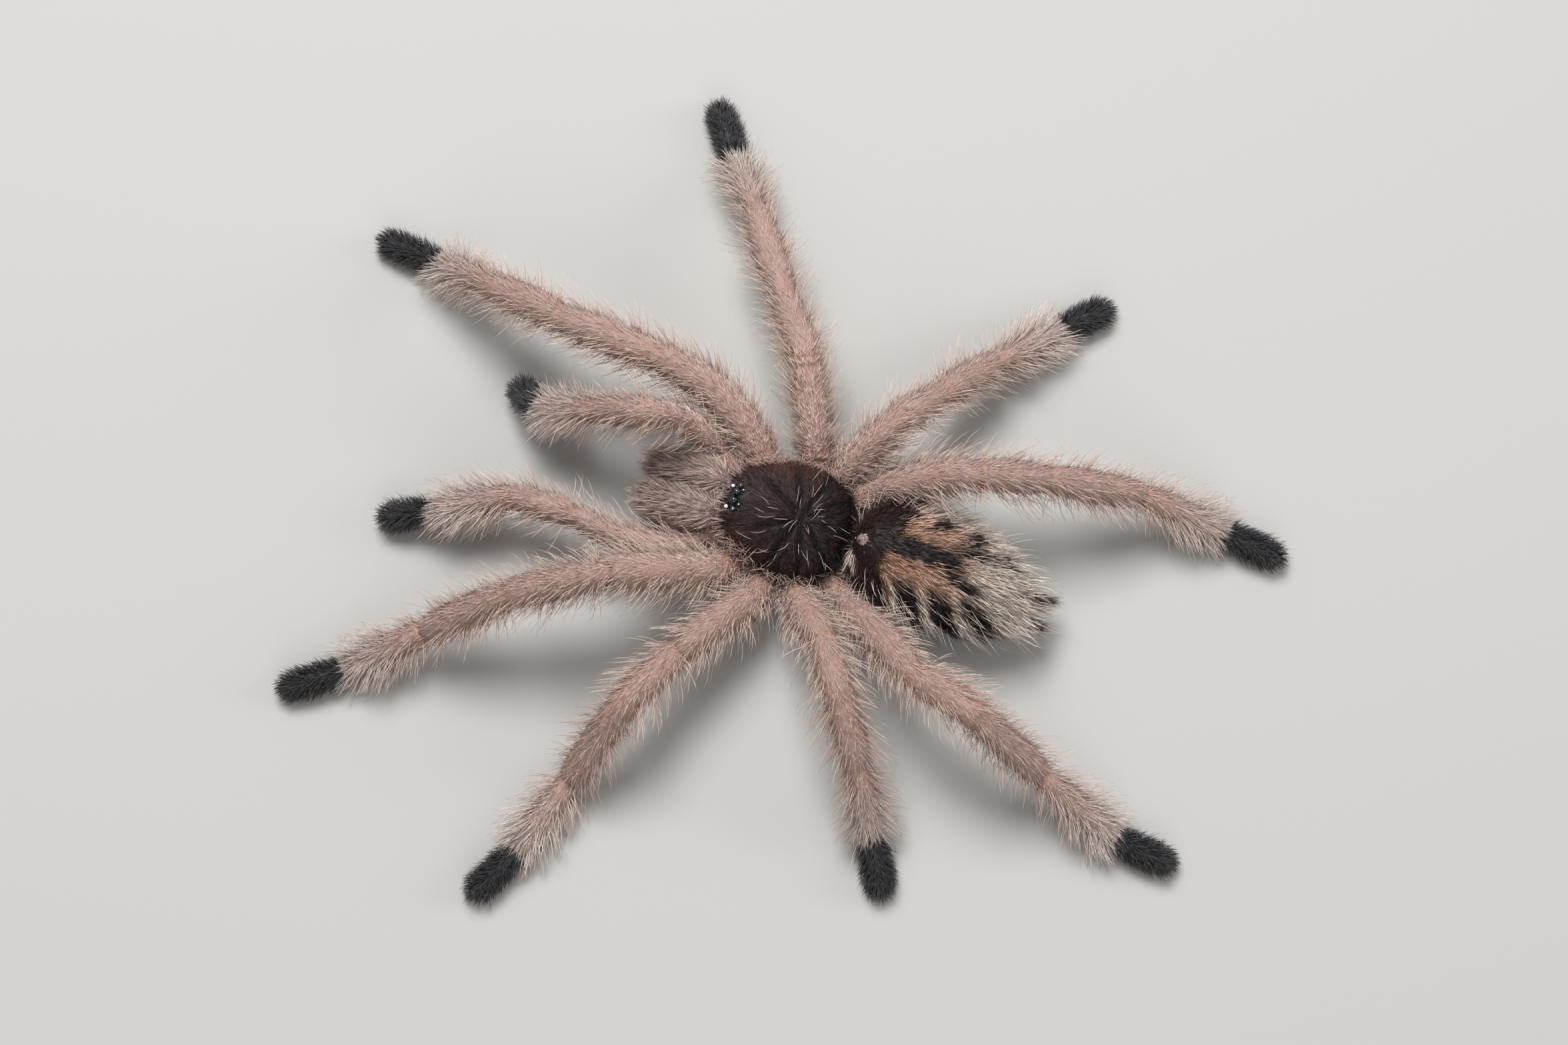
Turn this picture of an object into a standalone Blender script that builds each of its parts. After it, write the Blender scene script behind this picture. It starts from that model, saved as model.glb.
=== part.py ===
"""A pink toe tarantula spiderling at life size, standing on all eight feet.

The head points to -Y, the spider's left side is at +X and the floor is z = 0.
Lengths are in millimetres in the tables below, and MM turns them into metres.
Every limb is one tapering tube that is cut into its named lengths at the joints.
"""

import math
from dataclasses import dataclass

import bmesh
import bpy
from mathutils import Matrix, Vector

MM = 0.001
GAP = 0.05
SOCKET_GAP = 0.03
SIDES = {"L": 1.0, "R": -1.0}

# Body heights and lengths along Y, measured from the middle of the carapace.
HIP_HEIGHT = 1.95
COXA_HEIGHT = 1.72
CARAPACE_LENGTH = 5.4
CARAPACE_WIDTH = 5.0
CARAPACE_SQUARENESS = 2.7
CARAPACE_FLOOR = 2.6
CARAPACE_CROWN = 3.85
CARAPACE_BELLY = 0.12
TUBERCLE_Y = -2.12
TUBERCLE_SIZE = (0.6, 0.48, 0.36)
CHELICERA_BASE = -2.72
CHELICERA_LENGTH = 3.45
CHELICERA_HALF_WIDTH = 0.78
CHELICERA_HALF_HEIGHT = 0.8
CHELICERA_HEIGHT = 2.52
CHELICERA_DROP = 0.45
FANG_ROOT = 0.9
FANG_LENGTH = 1.3
FANG_HEIGHT = 1.3
FANG_SAG = 0.2
FANG_RADIUS = 0.19
FANG_TIP_RADIUS = 0.04
FANG_STEPS = 6
STERNUM_SIZE = (1.05, 1.4, 0.6)
STERNUM_HEIGHT = 1.7
ABDOMEN_FRONT = 2.85
ABDOMEN_REAR = 10.6
ABDOMEN_HALF_WIDTH = 2.4
ABDOMEN_HALF_HEIGHT = 2.1
ABDOMEN_HEIGHT = 2.85
ABDOMEN_DROOP = 0.5
ABDOMEN_LEAN = 0.25

# The waist as (y, z, radius), and the spinnerets as (y, z, distance from the middle, radius).
PEDICEL = ((1.95, 1.9, 0.34), (2.4, 1.93, 0.4), (2.81, 2.1, 0.38))
LONG_SPINNERET = (
    (10.4, 1.62, 0.42, 0.24),
    (10.6, 1.64, 0.5, 0.27),
    (11.05, 1.7, 0.56, 0.24),
    (11.4, 1.78, 0.6, 0.2),
    (11.62, 1.84, 0.62, 0.13),
)
MEDIAN_SPINNERET = ((10.12, 1.2, 0.15, 0.09), (10.35, 1.2, 0.15, 0.12), (10.62, 1.24, 0.15, 0.06))

# Feet: the tarsus axis runs down to the floor, which flattens its sole.
FOOT_JOINT_HEIGHT = 0.62
FOOT_TIP_HEIGHT = 0.43
FEMUR_BOW = 0.16
COXA_SHARE = 0.7

# Radius along one segment, as (share of its length, share of its thickness).
SEGMENT_PROFILE = ((0.0, 0.8), (0.2, 1.0), (0.55, 1.02), (0.86, 0.96))
COXA_PROFILE = ((0.0, 0.62), (0.45, 0.92), (0.8, 0.98))
TARSUS_PROFILE = ((0.0, 0.88), (0.25, 1.0), (0.6, 1.1), (0.86, 0.95), (0.96, 0.66), (1.0, 0.3))


@dataclass(frozen=True)
class Build:
    """What the left and right limbs of one pair share: where they start, lengths, thicknesses."""

    coxa: tuple
    hip: tuple
    lengths: tuple
    radii: tuple


@dataclass(frozen=True)
class Stance:
    """One limb's pose in degrees: each segment's bearing outwards from ahead, and its rise.

    The segments past the last rise slope down to the floor by themselves. The hip is swung
    this far to the rear, and the femur bows this far outwards, in millimetres.
    """

    bearings: tuple
    rises: tuple
    swing: float = 0.0
    bow: float = 0.0


LEG_SEGMENTS = ("femur", "patella", "tibia", "metatarsus", "tarsus")
PALP_SEGMENTS = ("femur", "patella", "tibia", "tarsus")

LEG_BUILDS = {
    1: Build((1.02, -1.15), (2.75, -2.0), (6.2, 4.1, 4.4, 3.9, 2.8), (0.84, 0.82, 0.8, 0.7, 0.53)),
    2: Build((1.2, -0.38), (3.2, 0.1), (4.7, 3.3, 4.7, 3.6, 2.6), (0.82, 0.8, 0.78, 0.68, 0.53)),
    3: Build((1.16, 0.45), (2.9, 1.7), (3.6, 2.5, 3.4, 3.7, 2.3), (0.8, 0.78, 0.77, 0.68, 0.53)),
    4: Build((0.88, 1.24), (2.3, 2.95), (5.5, 3.0, 4.5, 4.3, 2.6), (0.82, 0.8, 0.78, 0.68, 0.53)),
}
PALP_BUILD = Build((0.7, -1.88), (2.2, -3.7), (4.8, 2.7, 3.7, 2.4), (0.62, 0.7, 0.67, 0.52))

LEG_STANCES = {
    "leg_1_L": Stance((30, 28, 34, 40, 35), (35, -16, -32), 0.2),
    "leg_2_L": Stance((59, 66, 67, 71, 64), (18, 13, -43), -0.2),
    "leg_3_L": Stance((132, 124, 125, 122, 118), (45, 12, -32), -0.2),
    "leg_4_L": Stance((146, 162, 164, 161, 174), (27, 14, -40), 0.3),
    "leg_1_R": Stance((18, 2, 14, 21, 5), (26, 8, -25), 0.0, 0.55),
    "leg_2_R": Stance((63, 55, 56, 54, 55), (41, -24, -16), 0.25),
    "leg_3_R": Stance((124, 125, 124, 129, 135), (43, -22, -27)),
    "leg_4_R": Stance((162, 161, 164, 179, 188), (37, -15, -25), 0.0, -0.2),
}
PALP_STANCES = {
    "palp_L": Stance((5, 1, 24, 20), (10, -3, -20), 0.0, 0.54),
    "palp_R": Stance((-9, -8, -2, 41), (54, -28, -46), 0.0, 0.38),
}

# Where a limb is cut into nodes: each node ends with the segment named here.
LEG_NODES = ("femur", "tibia", "metatarsus", "tarsus")
PALP_NODES = ("femur", "patella", "tibia", "tarsus")

# Eyes on the tubercle, as (name, across, ahead, radius) from the tubercle's middle. Each one
# stands proud of its socket by this share of its radius.
EYE_STAND = 0.15
EYE_DETAIL = 2
EYES = (
    ("anterior_median", 0.185, 0.07, 0.155),
    ("anterior_lateral", 0.43, 0.31, 0.135),
    ("posterior_lateral", 0.5, 0.0, 0.105),
    ("posterior_median", 0.31, -0.18, 0.075),
)


@dataclass(frozen=True)
class Finish:
    """A Principled material."""

    color: tuple
    roughness: float
    metallic: float = 0.0


FINISHES = {
    "leg_coat": Finish((0.52, 0.36, 0.33), 0.7),
    "toe_coat": Finish((0.03, 0.035, 0.045), 0.6),
    "carapace": Finish((0.06, 0.035, 0.032), 0.45),
    "head_coat": Finish((0.2, 0.16, 0.17), 0.6),
    "abdomen_coat": Finish((0.45, 0.28, 0.17), 0.75),
    "underside": Finish((0.3, 0.17, 0.13), 0.6),
    "spinneret": Finish((0.07, 0.05, 0.045), 0.6),
    "eye": Finish((0.01, 0.008, 0.008), 0.06),
    "fang": Finish((0.015, 0.008, 0.006), 0.2),
}


def clear_scene():
    """Removes whatever the startup scene holds."""
    for obj in list(bpy.data.objects):
        bpy.data.objects.remove(obj, do_unlink=True)


def make_collection(name):
    """A new collection in the scene."""
    collection = bpy.data.collections.new(name)
    bpy.context.scene.collection.children.link(collection)
    return collection


def make_materials():
    """One Principled material for each finish."""
    materials = {}
    for name, finish in FINISHES.items():
        material = bpy.data.materials.new(name)
        material.use_nodes = True
        shader = material.node_tree.nodes["Principled BSDF"]
        shader.inputs["Base Color"].default_value = (*finish.color, 1.0)
        shader.inputs["Roughness"].default_value = finish.roughness
        shader.inputs["Metallic"].default_value = finish.metallic
        materials[name] = material
    return materials


class Workshop:
    """Makes named objects in the part's collection, or cutters in their own."""

    def __init__(self):
        self.parts = make_collection("pink_toe_tarantula")
        self.cutters = make_collection("cutters")
        self.materials = make_materials()

    def add(self, name, mesh_builder, finish):
        """Turns a bmesh in millimetres into a smooth-shaded part in metres."""
        bmesh.ops.transform(mesh_builder, matrix=Matrix.Scale(MM, 4), verts=mesh_builder.verts)
        bmesh.ops.recalc_face_normals(mesh_builder, faces=mesh_builder.faces)
        mesh = bpy.data.meshes.new(name)
        mesh_builder.to_mesh(mesh)
        mesh_builder.free()
        mesh.shade_smooth()
        mesh.set_sharp_from_angle(angle=math.radians(50))
        mesh.materials.append(self.materials[finish])
        obj = bpy.data.objects.new(name, mesh)
        self.parts.objects.link(obj)
        return obj

    def add_cutter(self, name, mesh_builder):
        """A hidden wire object that a Boolean subtracts."""
        obj = self.add(name, mesh_builder, "underside")
        self.parts.objects.unlink(obj)
        self.cutters.objects.link(obj)
        obj.hide_render = True
        obj.display_type = "WIRE"
        return obj


def heading(bearing, rise, side):
    """The unit vector of a limb segment, from its bearing and rise in degrees."""
    across = math.radians(bearing)
    up = math.radians(rise)
    level = math.cos(up)
    return Vector((side * math.sin(across) * level, -math.cos(across) * level, math.sin(up)))


def rise_to(height, start, length):
    """The rise in degrees that ends a segment of this length at the given height."""
    return math.degrees(math.asin((height - start) / length))


def limb_joints(build, stance, side):
    """The joints of one limb: the coxa's start, the hip, then each segment's far end."""
    coxa = Vector((side * build.coxa[0], build.coxa[1], COXA_HEIGHT))
    hip = Vector((side * build.hip[0], build.hip[1] + stance.swing, HIP_HEIGHT))
    joints = [coxa, hip]
    last = len(build.lengths) - 1
    for index, length in enumerate(build.lengths):
        start = joints[-1]
        if index < len(stance.rises):
            rise = stance.rises[index]
        elif index == last:
            rise = rise_to(FOOT_TIP_HEIGHT, start.z, length)
        else:
            rise = rise_to(FOOT_JOINT_HEIGHT, start.z, length)
        joints.append(start + heading(stance.bearings[index], rise, side) * length)
    return joints


def limb_stations(joints, radii, outward_bow):
    """Centre points and radii along the limb, with a waist at every joint."""
    stations = []
    spans = list(zip(joints, joints[1:]))
    thicknesses = (radii[0] * COXA_SHARE, *radii)
    for index, (start, end) in enumerate(spans):
        if index == 0:
            profile = COXA_PROFILE
        elif index == len(spans) - 1:
            profile = TARSUS_PROFILE
        else:
            profile = SEGMENT_PROFILE
        bow = outward_bow if index == 1 else Vector()
        for share, thickness in profile:
            point = start.lerp(end, share) + bow * math.sin(math.pi * share)
            stations.append((point, thicknesses[index] * thickness))
    return stations


def tube_mesh(stations):
    """A closed round tube through the stations, as a mesh in millimetres."""
    curve = bpy.data.curves.new("limb", "CURVE")
    curve.dimensions = "3D"
    curve.bevel_depth = 1.0
    curve.bevel_resolution = 3
    curve.use_fill_caps = True
    curve.twist_mode = "Z_UP"
    spline = curve.splines.new("POLY")
    spline.points.add(len(stations) - 1)
    for point, (centre, radius) in zip(spline.points, stations):
        point.co = (*centre, 1.0)
        point.radius = radius
    guide = bpy.data.objects.new("limb", curve)
    bpy.context.scene.collection.objects.link(guide)
    graph = bpy.context.evaluated_depsgraph_get()
    mesh = bpy.data.meshes.new_from_object(guide.evaluated_get(graph))
    bpy.data.objects.remove(guide, do_unlink=True)
    shape = bmesh.new()
    shape.from_mesh(mesh)
    bmesh.ops.remove_doubles(shape, verts=shape.verts, dist=1e-4)
    bmesh.ops.recalc_face_normals(shape, faces=shape.faces)
    bpy.data.meshes.remove(mesh)
    return shape


def cut_away(shape, point, direction):
    """Removes what lies beyond a plane, and closes the cut with a flat face."""
    everything = shape.verts[:] + shape.edges[:] + shape.faces[:]
    cut = bmesh.ops.bisect_plane(
        shape, geom=everything, plane_co=point, plane_no=direction, dist=1e-6, clear_outer=True
    )
    rim = [item for item in cut["geom_cut"] if isinstance(item, bmesh.types.BMEdge)]
    if rim:
        bmesh.ops.contextual_create(shape, geom=rim)


def joint_planes(joints):
    """For each joint, its point and the direction halfway between its two segments."""
    planes = []
    for before, here, after in zip(joints, joints[1:], joints[2:]):
        direction = (here - before).normalized() + (after - here).normalized()
        planes.append((here, direction.normalized()))
    return planes


def add_limb(shop, limb, build, stance, side, segments, nodes):
    """Cuts one limb's tube into its nodes and stands its foot on the floor."""
    joints = limb_joints(build, stance, side)
    bow = heading(stance.bearings[0] + 90.0, 0.0, side) * stance.bow
    bow.z = FEMUR_BOW
    whole = tube_mesh(limb_stations(joints, build.radii, bow))
    planes = joint_planes(joints)
    first_cut = None
    for node in nodes:
        piece = whole.copy()
        segment = segments.index(node)
        is_last = segment == len(segments) - 1
        if first_cut:
            point, direction = first_cut
            cut_away(piece, point + direction * GAP / 2, -direction)
        if is_last:
            cut_away(piece, Vector((0.0, 0.0, 0.0)), Vector((0.0, 0.0, -1.0)))
        else:
            point, direction = planes[segment + 1]
            cut_away(piece, point - direction * GAP / 2, direction)
            first_cut = (point, direction)
        shop.add(f"{limb}_{node}", piece, "toe_coat" if is_last else "leg_coat")
    whole.free()


def shaped_ball(segments, rings, place):
    """A sphere, poles on the Y axis, whose unit points are moved by a function."""
    shape = bmesh.new()
    bmesh.ops.create_uvsphere(shape, u_segments=segments, v_segments=rings, radius=1.0)
    bmesh.ops.rotate(shape, verts=shape.verts, matrix=Matrix.Rotation(math.radians(90), 3, "X"))
    for vert in shape.verts:
        vert.co = place(vert.co.copy())
    return shape


def bump(distance, width):
    """A smooth hump: 1 in the middle, fading to 0 around one width away."""
    return math.exp(-((distance / width) ** 2))


def squared(along, power):
    """How much wider a squarish outline is than a round one, at a share of its half length."""
    span = min(abs(along), 0.999)
    return (1.0 - span**power) ** (1.0 / power) / math.sqrt(1.0 - span**2)


def carapace_half_width(along):
    """The carapace's half width before rounding, from -1 at the front rim to 1 at the rear."""
    return CARAPACE_WIDTH / 2 * (1.0 - 0.2 * bump(along + 1.0, 0.75))


def carapace_crown(along):
    """The carapace's ridge height: a raised head, and a dip at the fovea."""
    height = CARAPACE_CROWN - CARAPACE_FLOOR
    head = 0.12 * bump(along + 0.55, 0.5)
    fovea = 0.1 * bump(along - 0.28, 0.12)
    return height * (0.93 + head - fovea - 0.12 * max(along, 0.0) ** 2)


def place_carapace(point):
    """Moves a point of the unit ball onto the carapace."""
    x = point.x * squared(point.y, CARAPACE_SQUARENESS) * carapace_half_width(point.y)
    y = point.y * CARAPACE_LENGTH / 2
    if point.z < 0.0:
        return Vector((x, y, CARAPACE_FLOOR + CARAPACE_BELLY * point.z))
    z = CARAPACE_FLOOR + point.z**0.85 * carapace_crown(point.y)
    width, depth, height = TUBERCLE_SIZE
    z += height * bump(x, width) * bump(y - TUBERCLE_Y, depth)
    return Vector((x, y, z))


def crown_height(x, y):
    """The carapace's height at a place near its midline."""
    along = y / (CARAPACE_LENGTH / 2)
    across = x / (squared(along, CARAPACE_SQUARENESS) * carapace_half_width(along))
    return place_carapace(Vector((across, along, math.sqrt(1.0 - along**2 - across**2)))).z


def eye_places():
    """The eight eyes, as (name, centre, radius), each sunk nearly halfway into the tubercle."""
    for name, across, ahead, radius in EYES:
        for letter, side in SIDES.items():
            x = side * across
            y = TUBERCLE_Y - ahead
            centre = Vector((x, y, crown_height(x, y) + EYE_STAND * radius))
            yield f"eye_{name}_{letter}", centre, radius


def ball_at(centre, radius):
    """A sphere of the given size and place."""
    shape = bmesh.new()
    bmesh.ops.create_icosphere(shape, subdivisions=EYE_DETAIL, radius=radius)
    bmesh.ops.translate(shape, verts=shape.verts, vec=centre)
    return shape


def add_eyes_and_carapace(shop):
    """The carapace, with a socket for each eye, and the eyes in them."""
    carapace = shop.add("carapace", shaped_ball(24, 16, place_carapace), "carapace")
    for name, centre, radius in eye_places():
        shop.add(name, ball_at(centre, radius), "eye")
        socket = shop.add_cutter(f"{name}_socket", ball_at(centre, radius + SOCKET_GAP))
        cut = carapace.modifiers.new(f"{name}_socket", "BOOLEAN")
        cut.operation = "DIFFERENCE"
        cut.solver = "EXACT"
        cut.object = socket


def place_sternum(point):
    """Moves a point of the unit ball onto the sternum and the mouth ahead of it."""
    width, length, height = STERNUM_SIZE
    front = max(-point.y - 0.45, 0.0)
    x = point.x * width * (1.0 - 0.4 * front)
    y = point.y * length - 0.35 * front
    z = STERNUM_HEIGHT + math.copysign(abs(point.z) ** 0.5, point.z) * height
    return Vector((x, y, z))


def chelicera_shape(side):
    """One chelicera: a stout blunt lobe that leans forward and down, flat against its twin."""

    def place(point):
        along = (1.0 - point.y) / 2
        girth = (0.92 + 0.1 * bump(along - 0.5, 0.4)) * squared(point.y, 3.7)
        x = CHELICERA_HALF_WIDTH + GAP / 2 + point.x * CHELICERA_HALF_WIDTH * girth
        y = CHELICERA_BASE - CHELICERA_LENGTH * along
        z = CHELICERA_HEIGHT - CHELICERA_DROP * along**1.6 + point.z * CHELICERA_HALF_HEIGHT * girth
        return Vector((side * max(x, GAP), y, z))

    return shaped_ball(16, 12, place)


def fang_stations(side):
    """A fang folded back under its chelicera: a tapering arc with its tip to the rear."""
    stations = []
    for step in range(FANG_STEPS + 1):
        share = step / FANG_STEPS
        y = CHELICERA_BASE - FANG_ROOT * CHELICERA_LENGTH + FANG_LENGTH * share
        z = FANG_HEIGHT - FANG_SAG * math.sin(math.pi * share)
        radius = FANG_TIP_RADIUS + (FANG_RADIUS - FANG_TIP_RADIUS) * (1.0 - share) ** 0.8
        stations.append((Vector((side * CHELICERA_HALF_WIDTH, y, z)), radius))
    return stations


def abdomen_girth(along):
    """The abdomen's girth from 0 at the front to 1 at the spinnerets."""
    return 1.0 - 0.04 * bump(along, 0.35) - 0.16 * bump(along - 1.0, 0.3)


def place_abdomen(point):
    """Moves a point of the unit ball onto the abdomen, whose rear droops to the spinnerets."""
    along = (1.0 + point.y) / 2
    girth = abdomen_girth(along) * squared(point.y, 2.8 if point.y < 0.0 else 2.25)
    x = point.x * ABDOMEN_HALF_WIDTH * girth + ABDOMEN_LEAN * along
    y = ABDOMEN_FRONT + (ABDOMEN_REAR - ABDOMEN_FRONT) * along
    z = ABDOMEN_HEIGHT - ABDOMEN_DROOP * along**3 + point.z * ABDOMEN_HALF_HEIGHT * girth
    return Vector((x, y, z))


def spinneret_stations(profile, side):
    """The centre points and radii of one spinneret, which follow the abdomen's lean."""
    return [(Vector((ABDOMEN_LEAN + side * apart, y, z)), radius) for y, z, apart, radius in profile]


def add_spinnerets(shop):
    """The long rear pair and the short middle pair."""
    for letter, side in SIDES.items():
        long_one = tube_mesh(spinneret_stations(LONG_SPINNERET, side))
        shop.add(f"spinneret_{letter}", long_one, "spinneret")
        short_one = tube_mesh(spinneret_stations(MEDIAN_SPINNERET, side))
        shop.add(f"median_spinneret_{letter}", short_one, "spinneret")


def add_body(shop):
    """Everything but the limbs."""
    add_eyes_and_carapace(shop)
    shop.add("sternum", shaped_ball(16, 8, place_sternum), "underside")
    waist = [(Vector((0.0, y, z)), radius) for y, z, radius in PEDICEL]
    shop.add("pedicel", tube_mesh(waist), "underside")
    shop.add("abdomen", shaped_ball(24, 18, place_abdomen), "abdomen_coat")
    for letter, side in SIDES.items():
        shop.add(f"chelicera_{letter}", chelicera_shape(side), "head_coat")
        shop.add(f"fang_{letter}", tube_mesh(fang_stations(side)), "fang")
    add_spinnerets(shop)


def add_limbs(shop):
    """The two palps and the eight legs."""
    for limb, stance in PALP_STANCES.items():
        side = SIDES[limb[-1]]
        add_limb(shop, limb, PALP_BUILD, stance, side, PALP_SEGMENTS, PALP_NODES)
    for limb, stance in LEG_STANCES.items():
        side = SIDES[limb[-1]]
        build = LEG_BUILDS[int(limb[4])]
        add_limb(shop, limb, build, stance, side, LEG_SEGMENTS, LEG_NODES)


def centre_over_origin(shop):
    """Moves everything level so that the middle of the box stands over the origin."""
    corners = [vert.co for obj in shop.parts.objects for vert in obj.data.vertices]
    low = [min(corner[axis] for corner in corners) for axis in range(2)]
    high = [max(corner[axis] for corner in corners) for axis in range(2)]
    shift = Vector((-(low[0] + high[0]) / 2, -(low[1] + high[1]) / 2, 0.0))
    for obj in [*shop.parts.objects, *shop.cutters.objects]:
        obj.location = shift


def main():
    """Builds the spider."""
    clear_scene()
    shop = Workshop()
    add_body(shop)
    add_limbs(shop)
    centre_over_origin(shop)


main()
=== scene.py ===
"""Dresses a pink toe tarantula spiderling: one skin, shell plates, eyes, claws and a coat of hairs.

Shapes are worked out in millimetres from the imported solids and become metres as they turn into
meshes. The head points to -Y, the spider's left side is at +X and the floor is z = 0.
"""

import logging
import math
from dataclasses import dataclass, field
from enum import Enum

import bmesh
import bpy
import numpy as np
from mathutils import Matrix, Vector
from mathutils.bvhtree import BVHTree
from mathutils.kdtree import KDTree


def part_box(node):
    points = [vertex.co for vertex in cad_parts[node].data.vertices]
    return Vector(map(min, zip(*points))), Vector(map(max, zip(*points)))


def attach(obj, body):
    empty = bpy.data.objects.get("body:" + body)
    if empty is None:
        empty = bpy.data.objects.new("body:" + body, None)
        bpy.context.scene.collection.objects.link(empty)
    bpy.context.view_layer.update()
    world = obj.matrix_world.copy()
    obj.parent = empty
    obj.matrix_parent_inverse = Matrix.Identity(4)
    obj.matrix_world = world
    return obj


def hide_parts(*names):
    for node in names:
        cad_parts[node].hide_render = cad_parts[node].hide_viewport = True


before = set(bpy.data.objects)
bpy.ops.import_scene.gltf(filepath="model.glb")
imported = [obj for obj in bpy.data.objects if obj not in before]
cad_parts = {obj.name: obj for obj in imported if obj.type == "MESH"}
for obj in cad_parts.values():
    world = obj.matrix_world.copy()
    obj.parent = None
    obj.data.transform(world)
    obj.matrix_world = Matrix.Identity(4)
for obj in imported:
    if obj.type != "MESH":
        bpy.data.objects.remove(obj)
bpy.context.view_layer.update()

logging.basicConfig(level=logging.INFO, format="%(message)s")
LOG = logging.getLogger("tarantula")

Array = np.ndarray
Form = tuple[Array, list]
Range = tuple[float, float]
Three = tuple[float, float, float]
Material = bpy.types.Material
Mesh = bpy.types.Mesh
Node = bpy.types.Node
Object = bpy.types.Object
Socket = bpy.types.NodeSocket
Tree = bpy.types.NodeTree

MM = 0.001
BODY = "root"
FULL_TURN = 2 * math.pi
SKIN_CLEARANCE = 0.04
FLOOR_CLEARANCE = 0.012
TUFT_PATCH = 0.003
UV_MARGIN = 0.02
WELD_REACH = 1e-4
EYE_GRAIN = (40, 24)
BODY_GRAIN = (48, 24)
DICE = np.random.default_rng(7)
MATERIALS: dict[str, Material] = {}


class Side(Enum):
    """The spider's own left and right, with the sign of X there."""

    LEFT = ("L", 1.0)
    RIGHT = ("R", -1.0)

    @property
    def letter(self) -> str:
        """The letter that names this side's nodes."""
        return self.value[0]

    @property
    def sign(self) -> float:
        """+1 on the left and -1 on the right."""
        return self.value[1]


class Slot(Enum):
    """Names of material slots."""

    LEG_COAT = "leg_coat"
    TOE_COAT = "toe_coat"
    CARAPACE = "carapace"
    HEAD_COAT = "head_coat"
    ABDOMEN_COAT = "abdomen_coat"
    UNDERSIDE = "underside"
    SPINNERET = "spinneret"
    EYE = "eye"
    FANG = "fang"


# ---- numbers and meshes


def unit(vectors: Array) -> Array:
    """Scales each row to length one."""
    lengths = np.linalg.norm(vectors, axis=-1, keepdims=True)
    return vectors / np.maximum(lengths, 1e-9)


def hump(distance: Array, width: float) -> Array:
    """A smooth bump that is one at distance zero and fades over about one width."""
    return np.exp(-((distance / width) ** 2))


def smooth_step(value: Array, low: float, high: float) -> Array:
    """Rises smoothly from zero at low to one at high."""
    share = np.clip((value - low) / (high - low), 0.0, 1.0)
    return share * share * (3.0 - 2.0 * share)


def ramp(start_and_gain: Range, share: Array) -> Array:
    """The start plus the gain times the share."""
    return start_and_gain[0] + start_and_gain[1] * share


def node_box(name: str) -> Array:
    """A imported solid's lowest and highest corners in millimetres."""
    return np.array([np.array(corner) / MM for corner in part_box(name)])


def patch_spots(first: Array, second: Array) -> Array:
    """Places on the bake's unwrap, off its edges, from the shares of its two sides."""
    shares = np.stack([first, second], axis=1)
    return UV_MARGIN + np.clip(shares, 0.0, 1.0) * (1.0 - 2 * UV_MARGIN)


def wrapped_spots(places: Array, low: Array, high: Array) -> Array:
    """Places on the unwrap of a form that lies along Y.

    Args:
        places: Points on the form.
        low: Its lowest corner.
        high: Its highest corner.

    Returns:
        The places.
    """
    offsets = places - (low + high) / 2
    around = np.arctan2(offsets[:, 0], offsets[:, 2]) / FULL_TURN + 0.5
    return patch_spots((places[:, 1] - low[1]) / (high - low)[1], around)


def side_products(corners: Array) -> Array:
    """The cross product of each triangle's two sides at its first corner."""
    return np.cross(corners[:, 1] - corners[:, 0], corners[:, 2] - corners[:, 0])


def read_rows(rows: object, label: str, kind: type) -> Array:
    """Reads three numbers from each item of a mesh's collection.

    Args:
        rows: The collection.
        label: The numbers' name.
        kind: Their type.

    Returns:
        A row for each item.
    """
    values = np.empty(len(rows) * 3, kind)
    rows.foreach_get(label, values)
    return values.reshape(-1, 3)


@dataclass
class Shape:
    """A mesh as arrays in millimetres."""

    points: Array
    triangles: Array
    normals: Array

    @classmethod
    def of_mesh(cls, mesh: Mesh, scale: float = 1.0) -> "Shape":
        """Reads a Blender mesh.

        Args:
            mesh: The mesh.
            scale: What its coordinates are multiplied by.

        Returns:
            Its points, triangles and vertex normals.
        """
        mesh.calc_loop_triangles()
        points = read_rows(mesh.vertices, "co", np.float32).astype(float) * scale
        normals = read_rows(mesh.vertex_normals, "vector", np.float32).astype(float)
        return cls(points, read_rows(mesh.loop_triangles, "vertices", np.int32), normals)

    @classmethod
    def of_node(cls, name: str) -> "Shape":
        """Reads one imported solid."""
        return cls.of_mesh(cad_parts[name].data, 1.0 / MM)

    @property
    def corners(self) -> Array:
        """The triangles' corners, as triangle, corner, coordinate."""
        return self.points[self.triangles]

    def areas(self) -> Array:
        """The area of each triangle in square millimetres."""
        return np.linalg.norm(side_products(self.corners), axis=1) / 2

    def part(self, chosen: Array) -> "Shape":
        """The same points with only the chosen triangles."""
        return Shape(self.points, self.triangles[chosen], self.normals)

    def scatter(self, density: float) -> tuple[Array, Array]:
        """Spreads points evenly over the surface.

        Args:
            density: Points for each square millimetre.

        Returns:
            The points and their normals.
        """
        areas = self.areas()
        count = int(round(areas.sum() * density))
        faces = DICE.choice(len(areas), size=count, p=areas / areas.sum())
        first = np.sqrt(DICE.random(count))
        second = DICE.random(count)
        shares = np.stack([1 - first, first * (1 - second), first * second], axis=1)[..., None]
        places = (self.corners[faces] * shares).sum(1)
        return places, unit((self.normals[self.triangles[faces]] * shares).sum(1))

    def tree(self) -> BVHTree:
        """A search tree over the triangles."""
        return BVHTree.FromPolygons(self.points.tolist(), self.triangles.tolist())


def temporary_object(points: Array, faces: list) -> Object:
    """An object in millimetre units that a modifier works on.

    Args:
        points: Its vertices.
        faces: Its faces, as lists of vertex numbers.

    Returns:
        The linked object.
    """
    mesh = bpy.data.meshes.new("temporary")
    mesh.from_pydata(points.tolist(), [], faces)
    made = bpy.data.objects.new("temporary", mesh)
    bpy.context.scene.collection.objects.link(made)
    return made


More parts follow.
